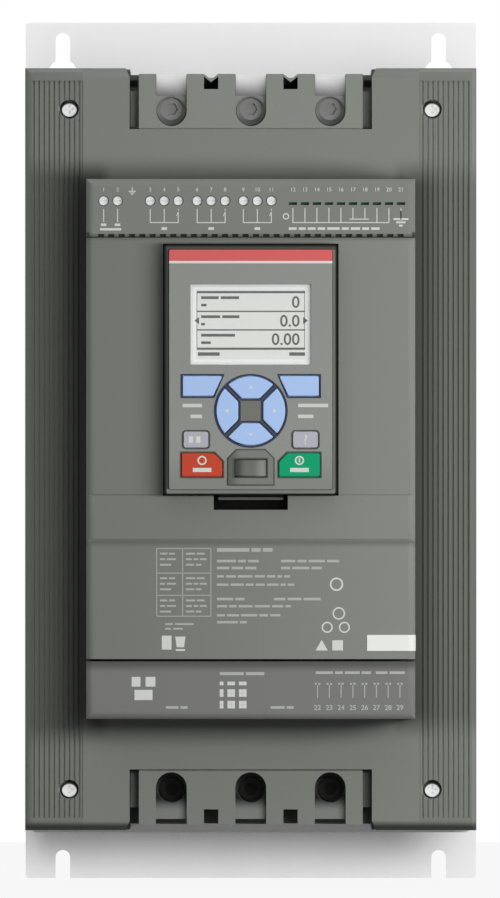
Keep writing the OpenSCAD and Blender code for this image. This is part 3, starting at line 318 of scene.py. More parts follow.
def matt_plastic(name, colour):
    """The matt plastic of the shroud, the blocks and the guides."""
    return finish(name, colour, roughness=0.58, cloud=0.06, cloud_scale=14.0, spread=0.12, grain=1600.0,
                  bump=0.2, specular=0.15)


RIBS_FROM = 0.073
RIBS_TO = 0.0968
shroud_grey = matt_plastic("shroud_grey", srgb(134, 137, 131))
tree = shroud_grey.node_tree
aside = math_node(tree, "ABSOLUTE", axes(tree)["X"])
band = overlap(tree, math_node(tree, "GREATER_THAN", aside, RIBS_FROM),
               math_node(tree, "LESS_THAN", aside, RIBS_TO))
groove = overlap(tree, along(tree, "Y", -206.0, -205.2), along(tree, "Y", -204.5, -205.0))
front = along(tree, "Y", -192, -204)
# Painted shade: the ribbed bands are darker; painted light: the floors of their grooves are paler.
paint_over(shroud_grey, overlap(tree, band, front), srgb(126, 129, 123))
paint_over(shroud_grey, overlap(tree, band, groove), srgb(147, 150, 143))
# Painted shade: the bands beside the panel are darker, darkest at the panel's foot.
beside = overlap(tree, along(tree, "Z", -128, -113), along(tree, "Z", 128, 113), front)
paint_over(shroud_grey, overlap(tree, beside, along(tree, "X", 66, 72)), srgb(113, 116, 110))
for start, end, inner, share in ((-84, -72, -60, 0.76), (87, 70, 60, 0.66)):
    foot = overlap(tree, along(tree, "X", start, end), along(tree, "X", inner, 1.1 * inner), beside, share)
    paint_over(shroud_grey, foot, srgb(34, 35, 33))
# Painted shade along the lower front edge of the shroud and blocks.
paint_over(shroud_grey, overlap(tree, front, along(tree, "Z", -161, -164)), srgb(66, 68, 64))
clad(shroud_grey, "line_terminal_block", "load_terminal_block")
# Painted light: the guides' grey is a little lighter than the shroud's, and the upper guides lighter still.
guide_grey = matt_plastic("guide_grey", srgb(136, 139, 133))
tree = guide_grey.node_tree
paint_over(guide_grey, along(tree, "Z", 60, 120), srgb(141, 143, 137))
# Painted shade: dark corners at the outer ends of the upper guides, deep in the notches.
ends = math_node(tree, "ADD", along(tree, "X", 48.6, 49.6), along(tree, "X", -48.6, -49.6))
corner = overlap(tree, ends, along(tree, "Y", -190, -184), along(tree, "Z", 156.6, 158.4),
                 along(tree, "Z", 161.4, 160.2))
paint_over(guide_grey, corner, srgb(30, 31, 29))
# Painted shade on the floors of the lower troughs, just under their tool holes.
shade_below_hole = overlap(tree, along(tree, "Z", -157.5, -151.0), along(tree, "Y", -203.6, -203.0),
                along(tree, "Y", -196.0, -200.0), along(tree, "Z", -100, -120))
paint_over(guide_grey, shade_below_hole, srgb(36, 37, 35))
clad(guide_grey, "terminal_guides")
soften(MOULD_EDGE, "line_terminal_block", "load_terminal_block", "terminal_guides")

# Clamp screws: steel screws with a hexagon socket, one in each lug, blackened against rust.
# Those of the load side are darker as painted shade.
black_oxide = finish("black_oxide", srgb(134, 134, 132), roughness=0.6, cloud=0.15, cloud_scale=150.0,
                     grain=1400.0, specular=0.3)
# Painted shade: the load side's screws, down in their holes, are darker.
paint_over(black_oxide, along(black_oxide.node_tree, "Z", -100, -120), srgb(44, 44, 43))
clad(black_oxide, "clamp_screws")

# Trough liners: tinned strips bent over the rounded floors of the upper troughs, under the cable ties.
# Each is one narrow section spun through a quarter turn; it is painted light, dull grey toward the tool hole
# and bright toward the top, where the strip turns to face up.


def piece(name, shape, body, material):
    """Makes an object of a mesh and lets it ride on a body."""
    bmesh.ops.recalc_face_normals(shape, faces=shape.faces)
    mesh = bpy.data.meshes.new(name)
    shape.to_mesh(mesh)
    shape.free()
    mesh.materials.append(material)
    thing = bpy.data.objects.new(name, mesh)
    bpy.context.scene.collection.objects.link(thing)
    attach(thing, body)


POLES = (-34.5, 0.0, 34.5)
LINER_HALF = 6.55
LINER_BACK, LINER_FRONT = 11.31, 11.5
shape = bmesh.new()
for pole in POLES:
    bend = Vector((pole / 1000, -0.1897, 0.1517))
    corners = []
    for x, radius in ((-LINER_HALF, LINER_BACK), (LINER_HALF, LINER_BACK),
                      (LINER_HALF, LINER_FRONT), (-LINER_HALF, LINER_FRONT)):
        corners.append(shape.verts.new(((pole + x) / 1000, bend.y - radius / 1000, bend.z)))
    section = shape.faces.new(corners)
    bmesh.ops.rotate(shape, verts=corners, cent=bend, matrix=Matrix.Rotation(math.radians(-10), 3, "X"))
    bmesh.ops.spin(shape, geom=[section], cent=bend, axis=(1, 0, 0), angle=math.radians(-79), steps=14)
liner_tin = finish("liner_tin", srgb(112, 112, 112), roughness=0.45, metallic=0.3, cloud=0.1,
                   cloud_scale=200.0)
# Painted light: brighter toward the top, where the strip turns to face up.
paint_over(liner_tin, along(liner_tin.node_tree, "Z", 152.5, 163.5), srgb(246, 246, 246))
piece("trough_liners", shape, "housing", liner_tin)

# Collars: moulded rings pressed into the upper tool holes, so that a loosened clamp screw can't fall out.
# Each slopes from the rim of the hole to the screw; its lower half is darker as painted shade.
shape = bmesh.new()
for pole in POLES:
    first_edge = len(shape.edges)
    for radius, depth, z in ((6.45, 200.9, 147.0), (5.05, 198.9, 147.8)):
        seat = Matrix.Translation((pole / 1000, -depth / 1000, z / 1000))
        bmesh.ops.create_circle(shape, segments=48, radius=radius / 1000,
                                matrix=seat @ Matrix.Rotation(math.radians(90), 4, "X"))
    shape.edges.ensure_lookup_table()
    bmesh.ops.bridge_loops(shape, edges=shape.edges[first_edge:])
bmesh.ops.recalc_face_normals(shape, faces=shape.faces)
bmesh.ops.solidify(shape, geom=shape.faces[:], thickness=0.0004)
collar_grey = finish("collar_grey", srgb(126, 127, 124), roughness=0.6, cloud=0.08, cloud_scale=60.0,
                     specular=0.15)
# Painted shade: the lower half of each collar is darker.
paint_over(collar_grey, along(collar_grey.node_tree, "Z", 147.0, 142.0), srgb(92, 93, 90))
piece("screw_collars", shape, "housing", collar_grey)

# Front shroud: one deep moulding with ribbed side bands.
# Four zinc plated screws in deep recesses hold it on the chassis posts, with a painted shadow at the top of
# each head.


def screw_plating(name, colour):
    """The bright zinc of small screws."""
    return finish(name, colour, roughness=0.4, metallic=0.5, cloud=0.1, cloud_scale=300.0, spread=0.2,
                  grain=1400.0)


SCREW_SIDE = 0.0788
SCREW_NEAR = 0.02
clad(shroud_grey, "front_shroud")
soften(MOULD_EDGE, "front_shroud")
sunk_zinc = screw_plating("sunk_zinc", srgb(250, 250, 249))
tree = sunk_zinc.node_tree
where = axes(tree)
aside = math_node(tree, "SUBTRACT", math_node(tree, "ABSOLUTE", where["X"]), SCREW_SIDE)
# Painted shadow: a dark crescent at the top of each screw head, under the rim of its recess.
for height in (0.1467, -0.1487):
    reach = distance(tree, aside, math_node(tree, "SUBTRACT", where["Z"], height))
    near = math_node(tree, "LESS_THAN", reach, SCREW_NEAR)
    paint_over(sunk_zinc, overlap(tree, fade(tree, reach, 2.9, 3.7), near), srgb(30, 30, 29))
clad(sunk_zinc, "shroud_screws")
soften(SOFT_EDGE, "shroud_screws", segments=3)

# Covers: three thin mouldings in the same grey that make up the raised panel; the middle one has the keypad.
# The middle one is painted lighter toward its right as painted light; painted shade lies along the seams,
# in the row of small pockets, along a groove of the middle one and along the top edge of the bottom one.
# The zinc plated screws of the control terminals stand in holes of the top one.


def cover_plastic(name, colour):
    """The smoother plastic of the three covers."""
    return finish(name, colour, roughness=0.55, cloud=0.05, cloud_scale=16.0, spread=0.1, grain=1700.0,
                  bump=0.15, specular=0.35)


cover_grey = cover_plastic("cover_grey", srgb(126, 129, 123))
tree = cover_grey.node_tree
# Painted shade along the lower edge of the top cover, at its seam.
paint_over(cover_grey, overlap(tree, along(tree, "Z", 93.2, 92.2), 0.55), srgb(60, 62, 58))
# Painted shade on the floors of the small pockets.
pocket = overlap(tree, along(tree, "Z", 94.0, 93.2), along(tree, "Y", -256.3, -255.5))
paint_over(cover_grey, pocket, srgb(40, 41, 39))
clad(cover_grey, "terminal_cover")
front_grey = cover_plastic("front_grey", srgb(118, 121, 115))
tree = front_grey.node_tree
# Painted light: the middle cover is lighter toward its right, where the lamp stands.
paint_over(front_grey, along(tree, "X", -75, 75), srgb(132, 135, 129))
# Painted shade along a groove across the middle cover.
groove_shade = overlap(tree, along(tree, "Z", -42.8, -40.6), along(tree, "Z", -39.0, -40.2), 0.4)
paint_over(front_grey, groove_shade, srgb(70, 72, 68))
# Painted shade along the top edge of the middle cover, at its seam.
paint_over(front_grey, overlap(tree, along(tree, "Z", 89.2, 91.2), 0.45), srgb(70, 72, 68))
clad(front_grey, "front_cover")
comm_grey = cover_plastic("comm_grey", srgb(120, 121, 119))
# Painted shade along the top edge of the bottom cover.
paint_over(comm_grey, along(comm_grey.node_tree, "Z", -96.8, -92.4), srgb(82, 83, 81))
clad(comm_grey, "comm_cover")
soften(MOULD_EDGE, "front_cover", "comm_cover")
screw_zinc = screw_plating("screw_zinc", srgb(246, 246, 245))
clad(screw_zinc, "terminal_screws")
soften(MOULD_EDGE, "terminal_screws")

# Marker: a blank strip of white film, stuck on the middle cover at its right edge.
# Its end is bent back round the edge of the cover.
marker_white = finish("marker_white", srgb(236, 238, 233), roughness=0.5, cloud=0.03, grain=2000.0, bump=0.05)
clad(marker_white, "marker_label")
flat_low, flat_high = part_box("marker_label")
EDGE_ROUND = 0.0032
bend = Vector((flat_high.x, flat_high.y + EDGE_ROUND, flat_low.z))
shape = bmesh.new()
corners = []
for y, z in ((flat_high.y, flat_low.z), (flat_low.y, flat_low.z),
             (flat_low.y, flat_high.z), (flat_high.y, flat_high.z)):
    corners.append(shape.verts.new((flat_high.x, y, z)))
section = shape.faces.new(corners)
bmesh.ops.spin(shape, geom=[section], cent=bend, axis=(0, 0, 1), angle=math.radians(78), steps=10)
piece("marker_fold", shape, "housing", marker_white)

# Print on the top cover: white ink, pressed on with a pad.
# It has one number for each terminal, lines that join the groups, and short bars for captions.
INK = 0.00006
DIGIT_SHARE = 0.7


def raise_ink(shape, faces):
    """Lifts flat faces off the moulding by the thickness of the ink."""
    grown = bmesh.ops.extrude_face_region(shape, geom=faces)["geom"]
    lifted = [corner for corner in grown if isinstance(corner, bmesh.types.BMVert)]
    bmesh.ops.translate(shape, verts=lifted, vec=(0, -INK, 0))


def prism(shape, points, face):
    """A printed patch with an outline of (x, z) points in millimetres, on a face at that depth."""
    raise_ink(shape, [shape.faces.new([shape.verts.new((x / 1000, -face, z / 1000)) for x, z in points])])


def bar(shape, face, x0, z0, x1, z1):
    """A printed rectangle between two corners, in millimetres."""
    prism(shape, [(x0, z0), (x1, z0), (x1, z1), (x0, z1)], face)


def words(shape, face, x, z, lengths, height=1.1, space=0.9):
    """A line of small print as a row of bars."""
    for length in lengths:
        bar(shape, face, x, z - height / 2, x + length, z + height / 2)
        x += length + space


def ring(shape, face, x, z, outer, inner, steps=28):
    """A printed ring: a small rectangle spun round its centre."""
    section = [(inner, 0.0), (outer, 0.0), (outer, INK), (inner, INK)]
    loop = [shape.verts.new(((x + r) / 1000, -face - lift, z / 1000)) for r, lift in section]
    edges = [shape.edges.new((loop[i], loop[(i + 1) % 4])) for i in range(4)]
    bmesh.ops.spin(shape, geom=loop + edges, cent=(x / 1000, -face, z / 1000), axis=(0, 1, 0),
                   angle=2 * math.pi, steps=steps, use_merge=True)


def digits(shape, face, text, x, z, height, align="CENTER", bold=0.0):
    """Plain numbers as thin solids, centred on z, drawn bolder by so many millimetres."""
    curve = bpy.data.curves.new("digits", "FONT")
    curve.body = text
    curve.size = height / DIGIT_SHARE / 1000
    curve.align_x = align
    curve.resolution_u = 3
    curve.offset = bold / 1000
    curve.extrude = INK / 2
    holder = bpy.data.objects.new("digits", curve)
    bpy.context.scene.collection.objects.link(holder)
    mesh = bpy.data.meshes.new_from_object(holder.evaluated_get(bpy.context.evaluated_depsgraph_get()))
    bpy.data.objects.remove(holder)
    mesh.transform(Matrix.Translation((x / 1000, -face - INK / 2, (z - height / 2) / 1000))
                   @ Matrix.Rotation(math.radians(90), 4, "X"))
    shape.from_mesh(mesh)
    bpy.data.meshes.remove(mesh)
    bpy.data.curves.remove(curve)


PANEL = -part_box("front_cover")[0].y
HALF_LINE = 0.2
NUMBER_ROW = 112.0
NUMBER_HEIGHT = 1.7
JOIN_ROW = 97.9
SLOTS_MIDDLE = 41.5
SLOT_PITCH = 5.18
white_ink = finish("white_ink", srgb(214, 216, 211), roughness=0.6, cloud=0.05, cloud_scale=300.0, bump=0.05)
screw_groups = [[-63.5, -57.5], [-43.4, -37.35, -31.3], [-23.15, -17.1, -11.05], [-3.2, 2.85, 8.9]]
shape = bmesh.new()
number = 1
for group in screw_groups:
    first, last = group[0], group[-1]
    for x in group:
        digits(shape, PANEL, str(number), x, NUMBER_ROW, NUMBER_HEIGHT)
        number += 1
        bar(shape, PANEL, x - HALF_LINE, JOIN_ROW, x + HALF_LINE, 103.6)
    if len(group) == 3:
        bar(shape, PANEL, first - HALF_LINE, 97.5, last + HALF_LINE, JOIN_ROW)
        bar(shape, PANEL, group[1] - 1.2, 94.5, group[1] + 1.2, 95.7)
        slant = [(last - 0.9, 100.6), (last - 0.6, 100.4), (last + 0.2, 102.8), (last - 0.1, 103.0)]
        prism(shape, slant, PANEL)
    else:
        for x in group:
            bar(shape, PANEL, x - 1.2, 96.2, x + 1.2, 97.3)
        bar(shape, PANEL, first - 1.6, 94.3, last + 1.6, 95.3)
for i in range(10):
    x = SLOTS_MIDDLE + (i - 4.5) * SLOT_PITCH
    digits(shape, PANEL, str(number), x, NUMBER_ROW, NUMBER_HEIGHT)
    number += 1
    bar(shape, PANEL, x - HALF_LINE, 99.4 if i in (5, 6) else JOIN_ROW, x + HALF_LINE, 104.0)
bar(shape, PANEL, 17.99, 97.5, 59.83, JOIN_ROW)
bar(shape, PANEL, 42.6, 99.0, 51.0, 99.4)
ring(shape, PANEL, 15.2, 100.4, 1.4, 0.9)
words(shape, PANEL, 16.4, 95.1, [3.4, 3.0, 3.4, 3.2, 5.4, 3.0, 4.0, 3.0, 3.6])
# A sign for earth at the left and a larger one at the right
for x, z, size in ((-51.2, 111.4, 1.0), (64.81, 99.6, 2.0)):
    bar(shape, PANEL, x - HALF_LINE, z, x + HALF_LINE, z + 1.6 * size)
    for step, half in enumerate((1.6, 1.0, 0.4)):
        top = z - 0.7 * step * size
        bar(shape, PANEL, x - half * size, top - 0.4 * size, x + half * size, top)
piece("terminal_cover_print", shape, "housing", white_ink)

# Print on the middle cover: thinner, paler ink from the same kind of pad.
# It is a ruled table with three rows of short bars, lines of bars beside it, and a few plain signs.
pale_ink = finish("pale_ink", srgb(176, 179, 173), roughness=0.6, cloud=0.05, cloud_scale=300.0, bump=0.05)
HALF_RULE = 0.18
shape = bmesh.new()
for z in (-43.0, -53.6, -63.2, -72.2):
    bar(shape, PANEL, -40.6, z - HALF_RULE, -17.2, z + HALF_RULE)
for x in (-40.6, -29.4, -17.2):
    bar(shape, PANEL, x - HALF_RULE, -72.2, x + HALF_RULE, -43.0)
for z in (-45.2, -55.8, -65.4):
    for drop, left, right in ((0.0, [3.2, 2.6], [4.0, 3.4]), (2.4, [2.2, 4.0], [2.6, 2.0, 3.0]),
                              (4.8, [4.8], [3.6, 2.4])):
        words(shape, PANEL, -39.2, z - drop, left, 0.8, 0.7)
        words(shape, PANEL, -28.0, z - drop, right, 0.8, 0.7)
for x, z, lengths, height in (
    (-14.6, -43.6, [14.0, 4.0, 4.2], 1.6),
    (-14.6, -48.4, [8.2, 3.4, 4.6], 1.1),
    (13.0, -48.4, [6.2, 4.0, 7.0, 5.2], 1.1),
    (-14.6, -51.4, [5.4, 5.0, 4.8], 1.1),
    (13.0, -51.4, [4.0, 7.4, 4.4], 1.1),
    (-14.6, -55.0, [3.0, 4.2, 6.4, 4.4, 3.6, 2.0, 2.6], 1.0),
    (-14.6, -58.6, [5.0, 5.6, 3.4, 4.0, 5.0, 2.2, 2.8], 1.0),
    (-14.6, -64.8, [7.0, 4.0], 1.1),
    (10.0, -64.8, [5.0, 6.0, 7.4], 1.1),
    (-14.6, -67.9, [4.4, 3.2, 6.0, 6.6, 4.8, 2.4], 1.0),
    (-14.6, -71.8, [3.4, 5.2, 7.0, 3.8, 4.4], 1.0),
    (-14.6, -74.8, [9.0, 3.0], 1.0),
    (-37.0, -75.6, [3.4, 8.0], 0.8),
    (-37.0, -77.6, [2.6, 4.2], 0.8),
):
    words(shape, PANEL, x, z, lengths, height)
piece("rating_print", shape, "housing", pale_ink)
shape = bmesh.new()
bar(shape, PANEL, -38.4, -86.6, -34.2, -80.6)
prism(shape, [(-32.0, -85.6), (-28.8, -85.6), (-28.2, -81.0), (-32.6, -81.0)], PANEL)
bar(shape, PANEL, -32.4, -87.2, -28.4, -86.4)
for x, z, outer, inner in ((37.0, -58.4, 2.9, 2.2), (38.0, -71.0, 2.7, 2.1), (33.0, -77.0, 2.4, 1.8),
                           (40.4, -77.0, 2.4, 1.8)):
    ring(shape, PANEL, x, z, outer, inner)
prism(shape, [(28.0, -87.0), (33.2, -87.0), (30.6, -82.4)], PANEL)
bar(shape, PANEL, 35.2, -87.0, 39.8, -82.6)
piece("rating_signs", shape, "housing", white_ink)

# Print on the bottom cover: the same two inks.
# It has a plain sign, a square of small patches, short bars for captions, and numbers for eight terminals.
PATCH_PITCH = 1.66
PATCH = 1.6
COMM_MIDDLE = 46.6
COMM_PITCH = 5.08
shape = bmesh.new()
bar(shape, PANEL, -51.4, -102.6, -47.6, -98.4)
bar(shape, PANEL, -45.4, -102.6, -41.2, -98.4)
bar(shape, PANEL, -50.2, -108.4, -42.4, -104.0)
for column in range(7):
    for row in range(7):
        if (column * row + column + 2 * row) % 3 != 1:
            x = -13.4 + column * PATCH_PITCH
            z = -112.0 + row * PATCH_PITCH
            bar(shape, PANEL, x, z, x + PATCH, z + PATCH)
piece("comm_cover_signs", shape, "housing", white_ink)
shape = bmesh.new()
words(shape, PANEL, -13.4, -97.0, [10.4, 8.0], 1.3)
words(shape, PANEL, -36.6, -111.6, [5.4, 3.0])
words(shape, PANEL, 8.6, -111.6, [6.0, 3.0])
words(shape, PANEL, 28.0, -96.6, [7.4, 3.4])
words(shape, PANEL, 40.6, -96.6, [6.4, 4.0])
words(shape, PANEL, 54.0, -96.6, [5.0, 6.6])
for i in range(8):
    x = COMM_MIDDLE + (i - 3.5) * COMM_PITCH
    digits(shape, PANEL, str(number), x, -111.6, 2.1, bold=0.06)
    number += 1
    bar(shape, PANEL, x - HALF_LINE, -107.4, x + HALF_LINE, -100.8)
    bar(shape, PANEL, x - 1.2, -101.8, x + 1.2, -101.0)
piece("comm_cover_print", shape, "housing", pale_ink)

# Keypad case: a black tray that plugs into a black cradle, both moulded with a satin grain.
# The inner edge of the tray's rim is painted paler as painted light, most at the right and below.
# A painted highlight lies along the latch under it.


def inside_box(tree, x, z, half_x, half_z):
    """1 inside a rectangle of the front view, in millimetres, 0 outside."""
    where = axes(tree)
    inside = []
    for axis, centre, half in (("X", x, half_x), ("Z", z, half_z)):
        off = math_node(tree, "ABSOLUTE", math_node(tree, "SUBTRACT", where[axis], centre / 1000))
        inside.append(math_node(tree, "LESS_THAN", off, half / 1000))
    return overlap(tree, *inside)


keypad_black = finish("keypad_black", srgb(14, 15, 13), roughness=0.6, cloud=0.2, cloud_scale=40.0,
                      specular=0.15)
clad(keypad_black, "keypad_cradle", "keypad_socket", "key_switches")
tray_black = finish("tray_black", srgb(13, 14, 12), roughness=0.6, cloud=0.2, cloud_scale=40.0, specular=0.15)
tree = tray_black.node_tree
# Painted light: the inner edge of the tray's rim is paler all round, and paler still at the right and below.
pale_rim_light = overlap(tree, along(tree, "X", -37.2, -35.9), along(tree, "X", 37.2, 35.9),
               along(tree, "Z", 88.0, 86.7), along(tree, "Z", -19.6, -18.3))
paint_over(tray_black, pale_rim_light, srgb(74, 76, 72))
right_rim = overlap(tree, along(tree, "X", 36.9, 35.9), inside_box(tree, 35.8, 33.6, 1.2, 52.3))
paint_over(tray_black, right_rim, srgb(116, 118, 113))
low_rim = overlap(tree, along(tree, "Z", -19.6, -18.8), inside_box(tree, 0, -18.5, 36.2, 1.3))
paint_over(tray_black, low_rim, srgb(128, 130, 125))
# Painted highlight along the latch in the slot.
latch_highlight = inside_box(tree, 0, -21.5, 14.6, 0.6)
paint_over(tray_black, latch_highlight, srgb(104, 106, 102))
clad(tray_black, "keypad_back")
soften(SOFT_EDGE, "keypad_back")
plug_pale = finish("plug_pale", srgb(214, 214, 206), roughness=0.3, cloud=0.05)
clad(plug_pale, "keypad_plug")
clad(tin, "usb_socket")

# Keypad face: a grey moulding painted with a red stripe over a thin white line, and white round the window.
# The field inside the arrow keys is a darker grey; the face is darker toward the bottom, and painted shade
# lies left of the flap.
keypad_grey = finish("keypad_grey", srgb(141, 143, 139), roughness=0.5, cloud=0.05, cloud_scale=20.0,
                     specular=0.4)
tree = keypad_grey.node_tree
# The face is darker toward the bottom.
paint_over(keypad_grey, along(tree, "Z", 0, -17), srgb(129, 131, 126))
# White round the window, carried over the edge of its opening as painted light that hides that edge's shade.
window_surround = inside_box(tree, 0, 53.6, 25.95, 17.25)
paint_over(keypad_grey, window_surround, srgb(236, 237, 235))
stripe = inside_box(tree, 0, 84.0, 60, 3.0)
paint_over(keypad_grey, stripe, srgb(213, 99, 98))
stripe_line = inside_box(tree, 0, 80.5, 60, 0.5)
paint_over(keypad_grey, stripe_line, srgb(226, 222, 218))
arrow_field = inside_box(tree, 0, 16.4, 4.6, 4.6)
paint_over(keypad_grey, arrow_field, srgb(112, 113, 105))
flap_frame = along(tree, "Y", -266.6, -267.0)
paint_over(keypad_grey, flap_frame, srgb(120, 122, 116))
# Painted shade on the left of the flap's frame.
paint_over(keypad_grey, overlap(tree, flap_frame, along(tree, "X", -4, -9)), srgb(90, 92, 87))
clad(keypad_grey, "keypad_front")
soften(MOULD_EDGE, "keypad_front")
flap_grey = finish("flap_grey", srgb(104, 106, 101), roughness=0.5, cloud=0.06, cloud_scale=40.0)
tree = flap_grey.node_tree
# Painted light on the right of the flap and painted shade on its left, where its recess shades it.
paint_over(flap_grey, along(tree, "X", 0.5, 5.5), srgb(138, 140, 134))
paint_over(flap_grey, along(tree, "X", -2.0, -6.0), srgb(54, 55, 52))
clad(flap_grey, "usb_cover")
soften(MOULD_EDGE, "usb_cover")

# Display: a liquid crystal panel with a white surround behind a clear window; a weak glow, given as a
# backlight, is painted light that also lifts the shade the window's edge casts on it.
# It shows three rows with plain numbers, short bars for captions, and ruled lines.
window_clear = finish("window_clear", srgb(236, 238, 235), roughness=0.1, cloud=0.02, grain=900.0, bump=0.02,
                      specular=0.2)
window_clear.node_tree.nodes["Principled BSDF"].inputs["Alpha"].default_value = 0.05
clad(window_clear, "display_window")
display_light = finish("display_light", srgb(180, 181, 179), roughness=0.4, cloud=0.03, cloud_scale=60.0,
                       bump=0.03)
tree = display_light.node_tree
paint_over(display_light, inside_box(tree, 0, 53.6, 23.6, 15.0), srgb(170, 172, 168))
# Painted light: a weak glow in the panel's own colour, which lifts the shade cast by the window's edge.
shader = tree.nodes["Principled BSDF"]
tree.links.new(shader.inputs["Base Color"].links[0].from_socket, shader.inputs["Emission Color"])
shader.inputs["Emission Strength"].default_value = 0.8
clad(display_light, "display_module")
DISPLAY = -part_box("display_module")[0].y
lcd_ink = finish("lcd_ink", srgb(74, 76, 74), roughness=0.5, cloud=0.1, cloud_scale=200.0)
shape = bmesh.new()
for z, half in ((67.6, 0.48), (59.3, 0.3), (51.3, 0.3), (43.2, 0.48)):
    bar(shape, DISPLAY, -23.2, z - half, 23.4, z + half)
for x in (-23.2, 23.2):
    bar(shape, DISPLAY, x - 0.12, 43.2, x + 0.12, 67.6)
for text, z in (("0", 63.4), ("0.0", 55.3), ("0.00", 47.4)):
    digits(shape, DISPLAY, text, 21.2, z, 5.0, "RIGHT", bold=0.1)
for z, upper, lower in ((65.2, [7.6, 7.8], [2.4]), (57.0, [8.2, 7.4], [1.6]), (49.0, [14.6], [4.2])):
    words(shape, DISPLAY, -21.4, z, upper, 1.2)
    words(shape, DISPLAY, -21.4, z - 3.2, lower, 1.1)
words(shape, DISPLAY, -22.8, 40.9, [9.4], 1.5)
words(shape, DISPLAY, 16.6, 40.9, [6.8], 1.5)
prism(shape, [(-24.3, 55.3), (-22.3, 53.7), (-22.3, 56.9)], DISPLAY)
prism(shape, [(24.6, 55.3), (22.6, 56.9), (22.6, 53.7)], DISPLAY)
piece("display_print", shape, "keypad", lcd_ink)

# Keys: moulded caps, lilac for the menu, grey for mode and information, red to stop, green to start.
# Each cap has a soft top edge and a printed sign. Outlines on the face are painted shade: dark blue round
# the lilac ones, over their dark blue base, and dark grey round the others, the arch and the flap.
FACE = 0.2665
TOP = -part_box("stop_key")[0].y - 0.00005


def key_plastic(name, colour, cloud=0.05, specular=0.5):
    """The satin plastic of the key caps."""
    return finish(name, colour, roughness=0.45, cloud=cloud, cloud_scale=60.0, specular=specular)


menu_keys = ("softkey_left", "softkey_right", "nav_up", "nav_down", "nav_left", "nav_right")
clad(key_plastic("key_lilac", srgb(170, 198, 241)), *menu_keys)
clad(key_plastic("key_light", srgb(176, 177, 186)), "mode_key", "info_key")
clad(key_plastic("key_red", srgb(192, 72, 48), 0.06, 0.3), "stop_key")
clad(key_plastic("key_green", srgb(8, 156, 108), 0.06, 0.3), "start_key")
soften(SOFT_EDGE, *menu_keys, "mode_key", "info_key", "stop_key", "start_key", segments=3)


def frame_of(shape, face, inner, outer):
    """An outline of painted shade between two loops of points that run side by side."""
    loops = [[shape.verts.new((x / 1000, -face, z / 1000)) for x, z in loop] for loop in (inner, outer)]
    count = len(inner)
    flat = []
    for i in range(count):
        follow = (i + 1) % count
        flat.append(shape.faces.new((loops[0][i], loops[0][follow], loops[1][follow], loops[1][i])))
    raise_ink(shape, flat)


def soft_loop(side, grow):
    """Outline of a menu key, grown on every side."""
    points = [(8.5 + grow, 4.2 + grow), (-8.5 - grow, 4.2 + grow), (-4.6 - 0.6 * grow, -4.2 - grow),
              (8.5 + grow, -4.2 - grow)]
    return [(side * (20.8 + x), 27.1 + z) for x, z in points]


ARROWS_Z = 16.4


def turned(points, quarter):
    """Points turned by quarter turns round the centre of the arrow keys."""
    cos, sin = math.cos(quarter * math.pi / 2), math.sin(quarter * math.pi / 2)
    return [(x * cos - z * sin, ARROWS_Z + x * sin + z * cos) for x, z in points]


def arrow_loop(quarter, grow):
    """Outline of an arrow key: an arc outside, a short edge at the core, two slanted sides."""
    cut = (1.1 - grow) * math.sqrt(2)
    reach = 14.9 + grow
    low = 5.4 - grow
    rise = (cut + math.sqrt(2 * reach * reach - cut * cut)) / 2
    start = math.atan2(rise, rise - cut)
    points = [(cut - low, low), (low - cut, low)]
    for i in range(13):
        angle = start + (math.pi - 2 * start) * i / 12
        points.append((reach * math.cos(angle), reach * math.sin(angle)))
    return turned(points, quarter)


GAP = 0.32
# Painted shade in the gaps round the lilac keys, over their dark blue base.
navy_gap_shade = finish("navy_gap_shade", srgb(38, 46, 66), roughness=0.6, cloud=0.15, cloud_scale=200.0)
shape = bmesh.new()
for side in (-1, 1):
    frame_of(shape, FACE, soft_loop(side, GAP), soft_loop(side, 1.0))
for quarter in range(4):
    frame_of(shape, FACE, arrow_loop(quarter, GAP), arrow_loop(quarter, 1.05))
piece("key_outlines", shape, "keypad", navy_gap_shade)


def small_loop(side, grow):
    """Outline of a small key: a rectangle with round corners."""
    radius = 0.9 + grow
    points = []
    for corner, (x, z) in enumerate(((4.4, 2.45), (-4.4, 2.45), (-4.4, -2.45), (4.4, -2.45))):
        for i in range(4):
            angle = (corner + i / 3) * math.pi / 2
            points.append((side * 23.6 + x + radius * math.cos(angle), 4.0 + z + radius * math.sin(angle)))
    return points


def run_loop(side, grow):
    """Outline of the stop or start key, with its inner upper corner cut off."""
    points = [(29.75 + grow, -1.95 + grow), (15.8 - 0.4 * grow, -1.95 + grow),
              (12.25 - grow, -5.5 + 0.4 * grow), (12.25 - grow, -11.85 - grow), (29.75 + grow, -11.85 - grow)]
    return [(side * x, z) for x, z in points]


def arch_loop(grow):
    """Outline of the frame round the flap."""
    right = [(9.7 + grow, -15.3 - grow), (9.7 + grow, -4.2 + 0.4 * grow), (6.1 + 0.4 * grow, -0.6 + grow)]
    return right + [(-x, z) for x, z in reversed(right)]


FLAP_FRAME = FACE + 0.0007
# Painted shade round the small keys, the stop and start keys and the arch of the flap's frame.
shade_ink = finish("shade_ink", srgb(74, 76, 72), roughness=0.6, cloud=0.15, cloud_scale=200.0)
shape = bmesh.new()
for side in (-1, 1):
    frame_of(shape, FACE, small_loop(side, GAP), small_loop(side, 0.85))
    frame_of(shape, FACE, run_loop(side, GAP), run_loop(side, 0.85))
frame_of(shape, FACE, arch_loop(0.02), arch_loop(0.6))
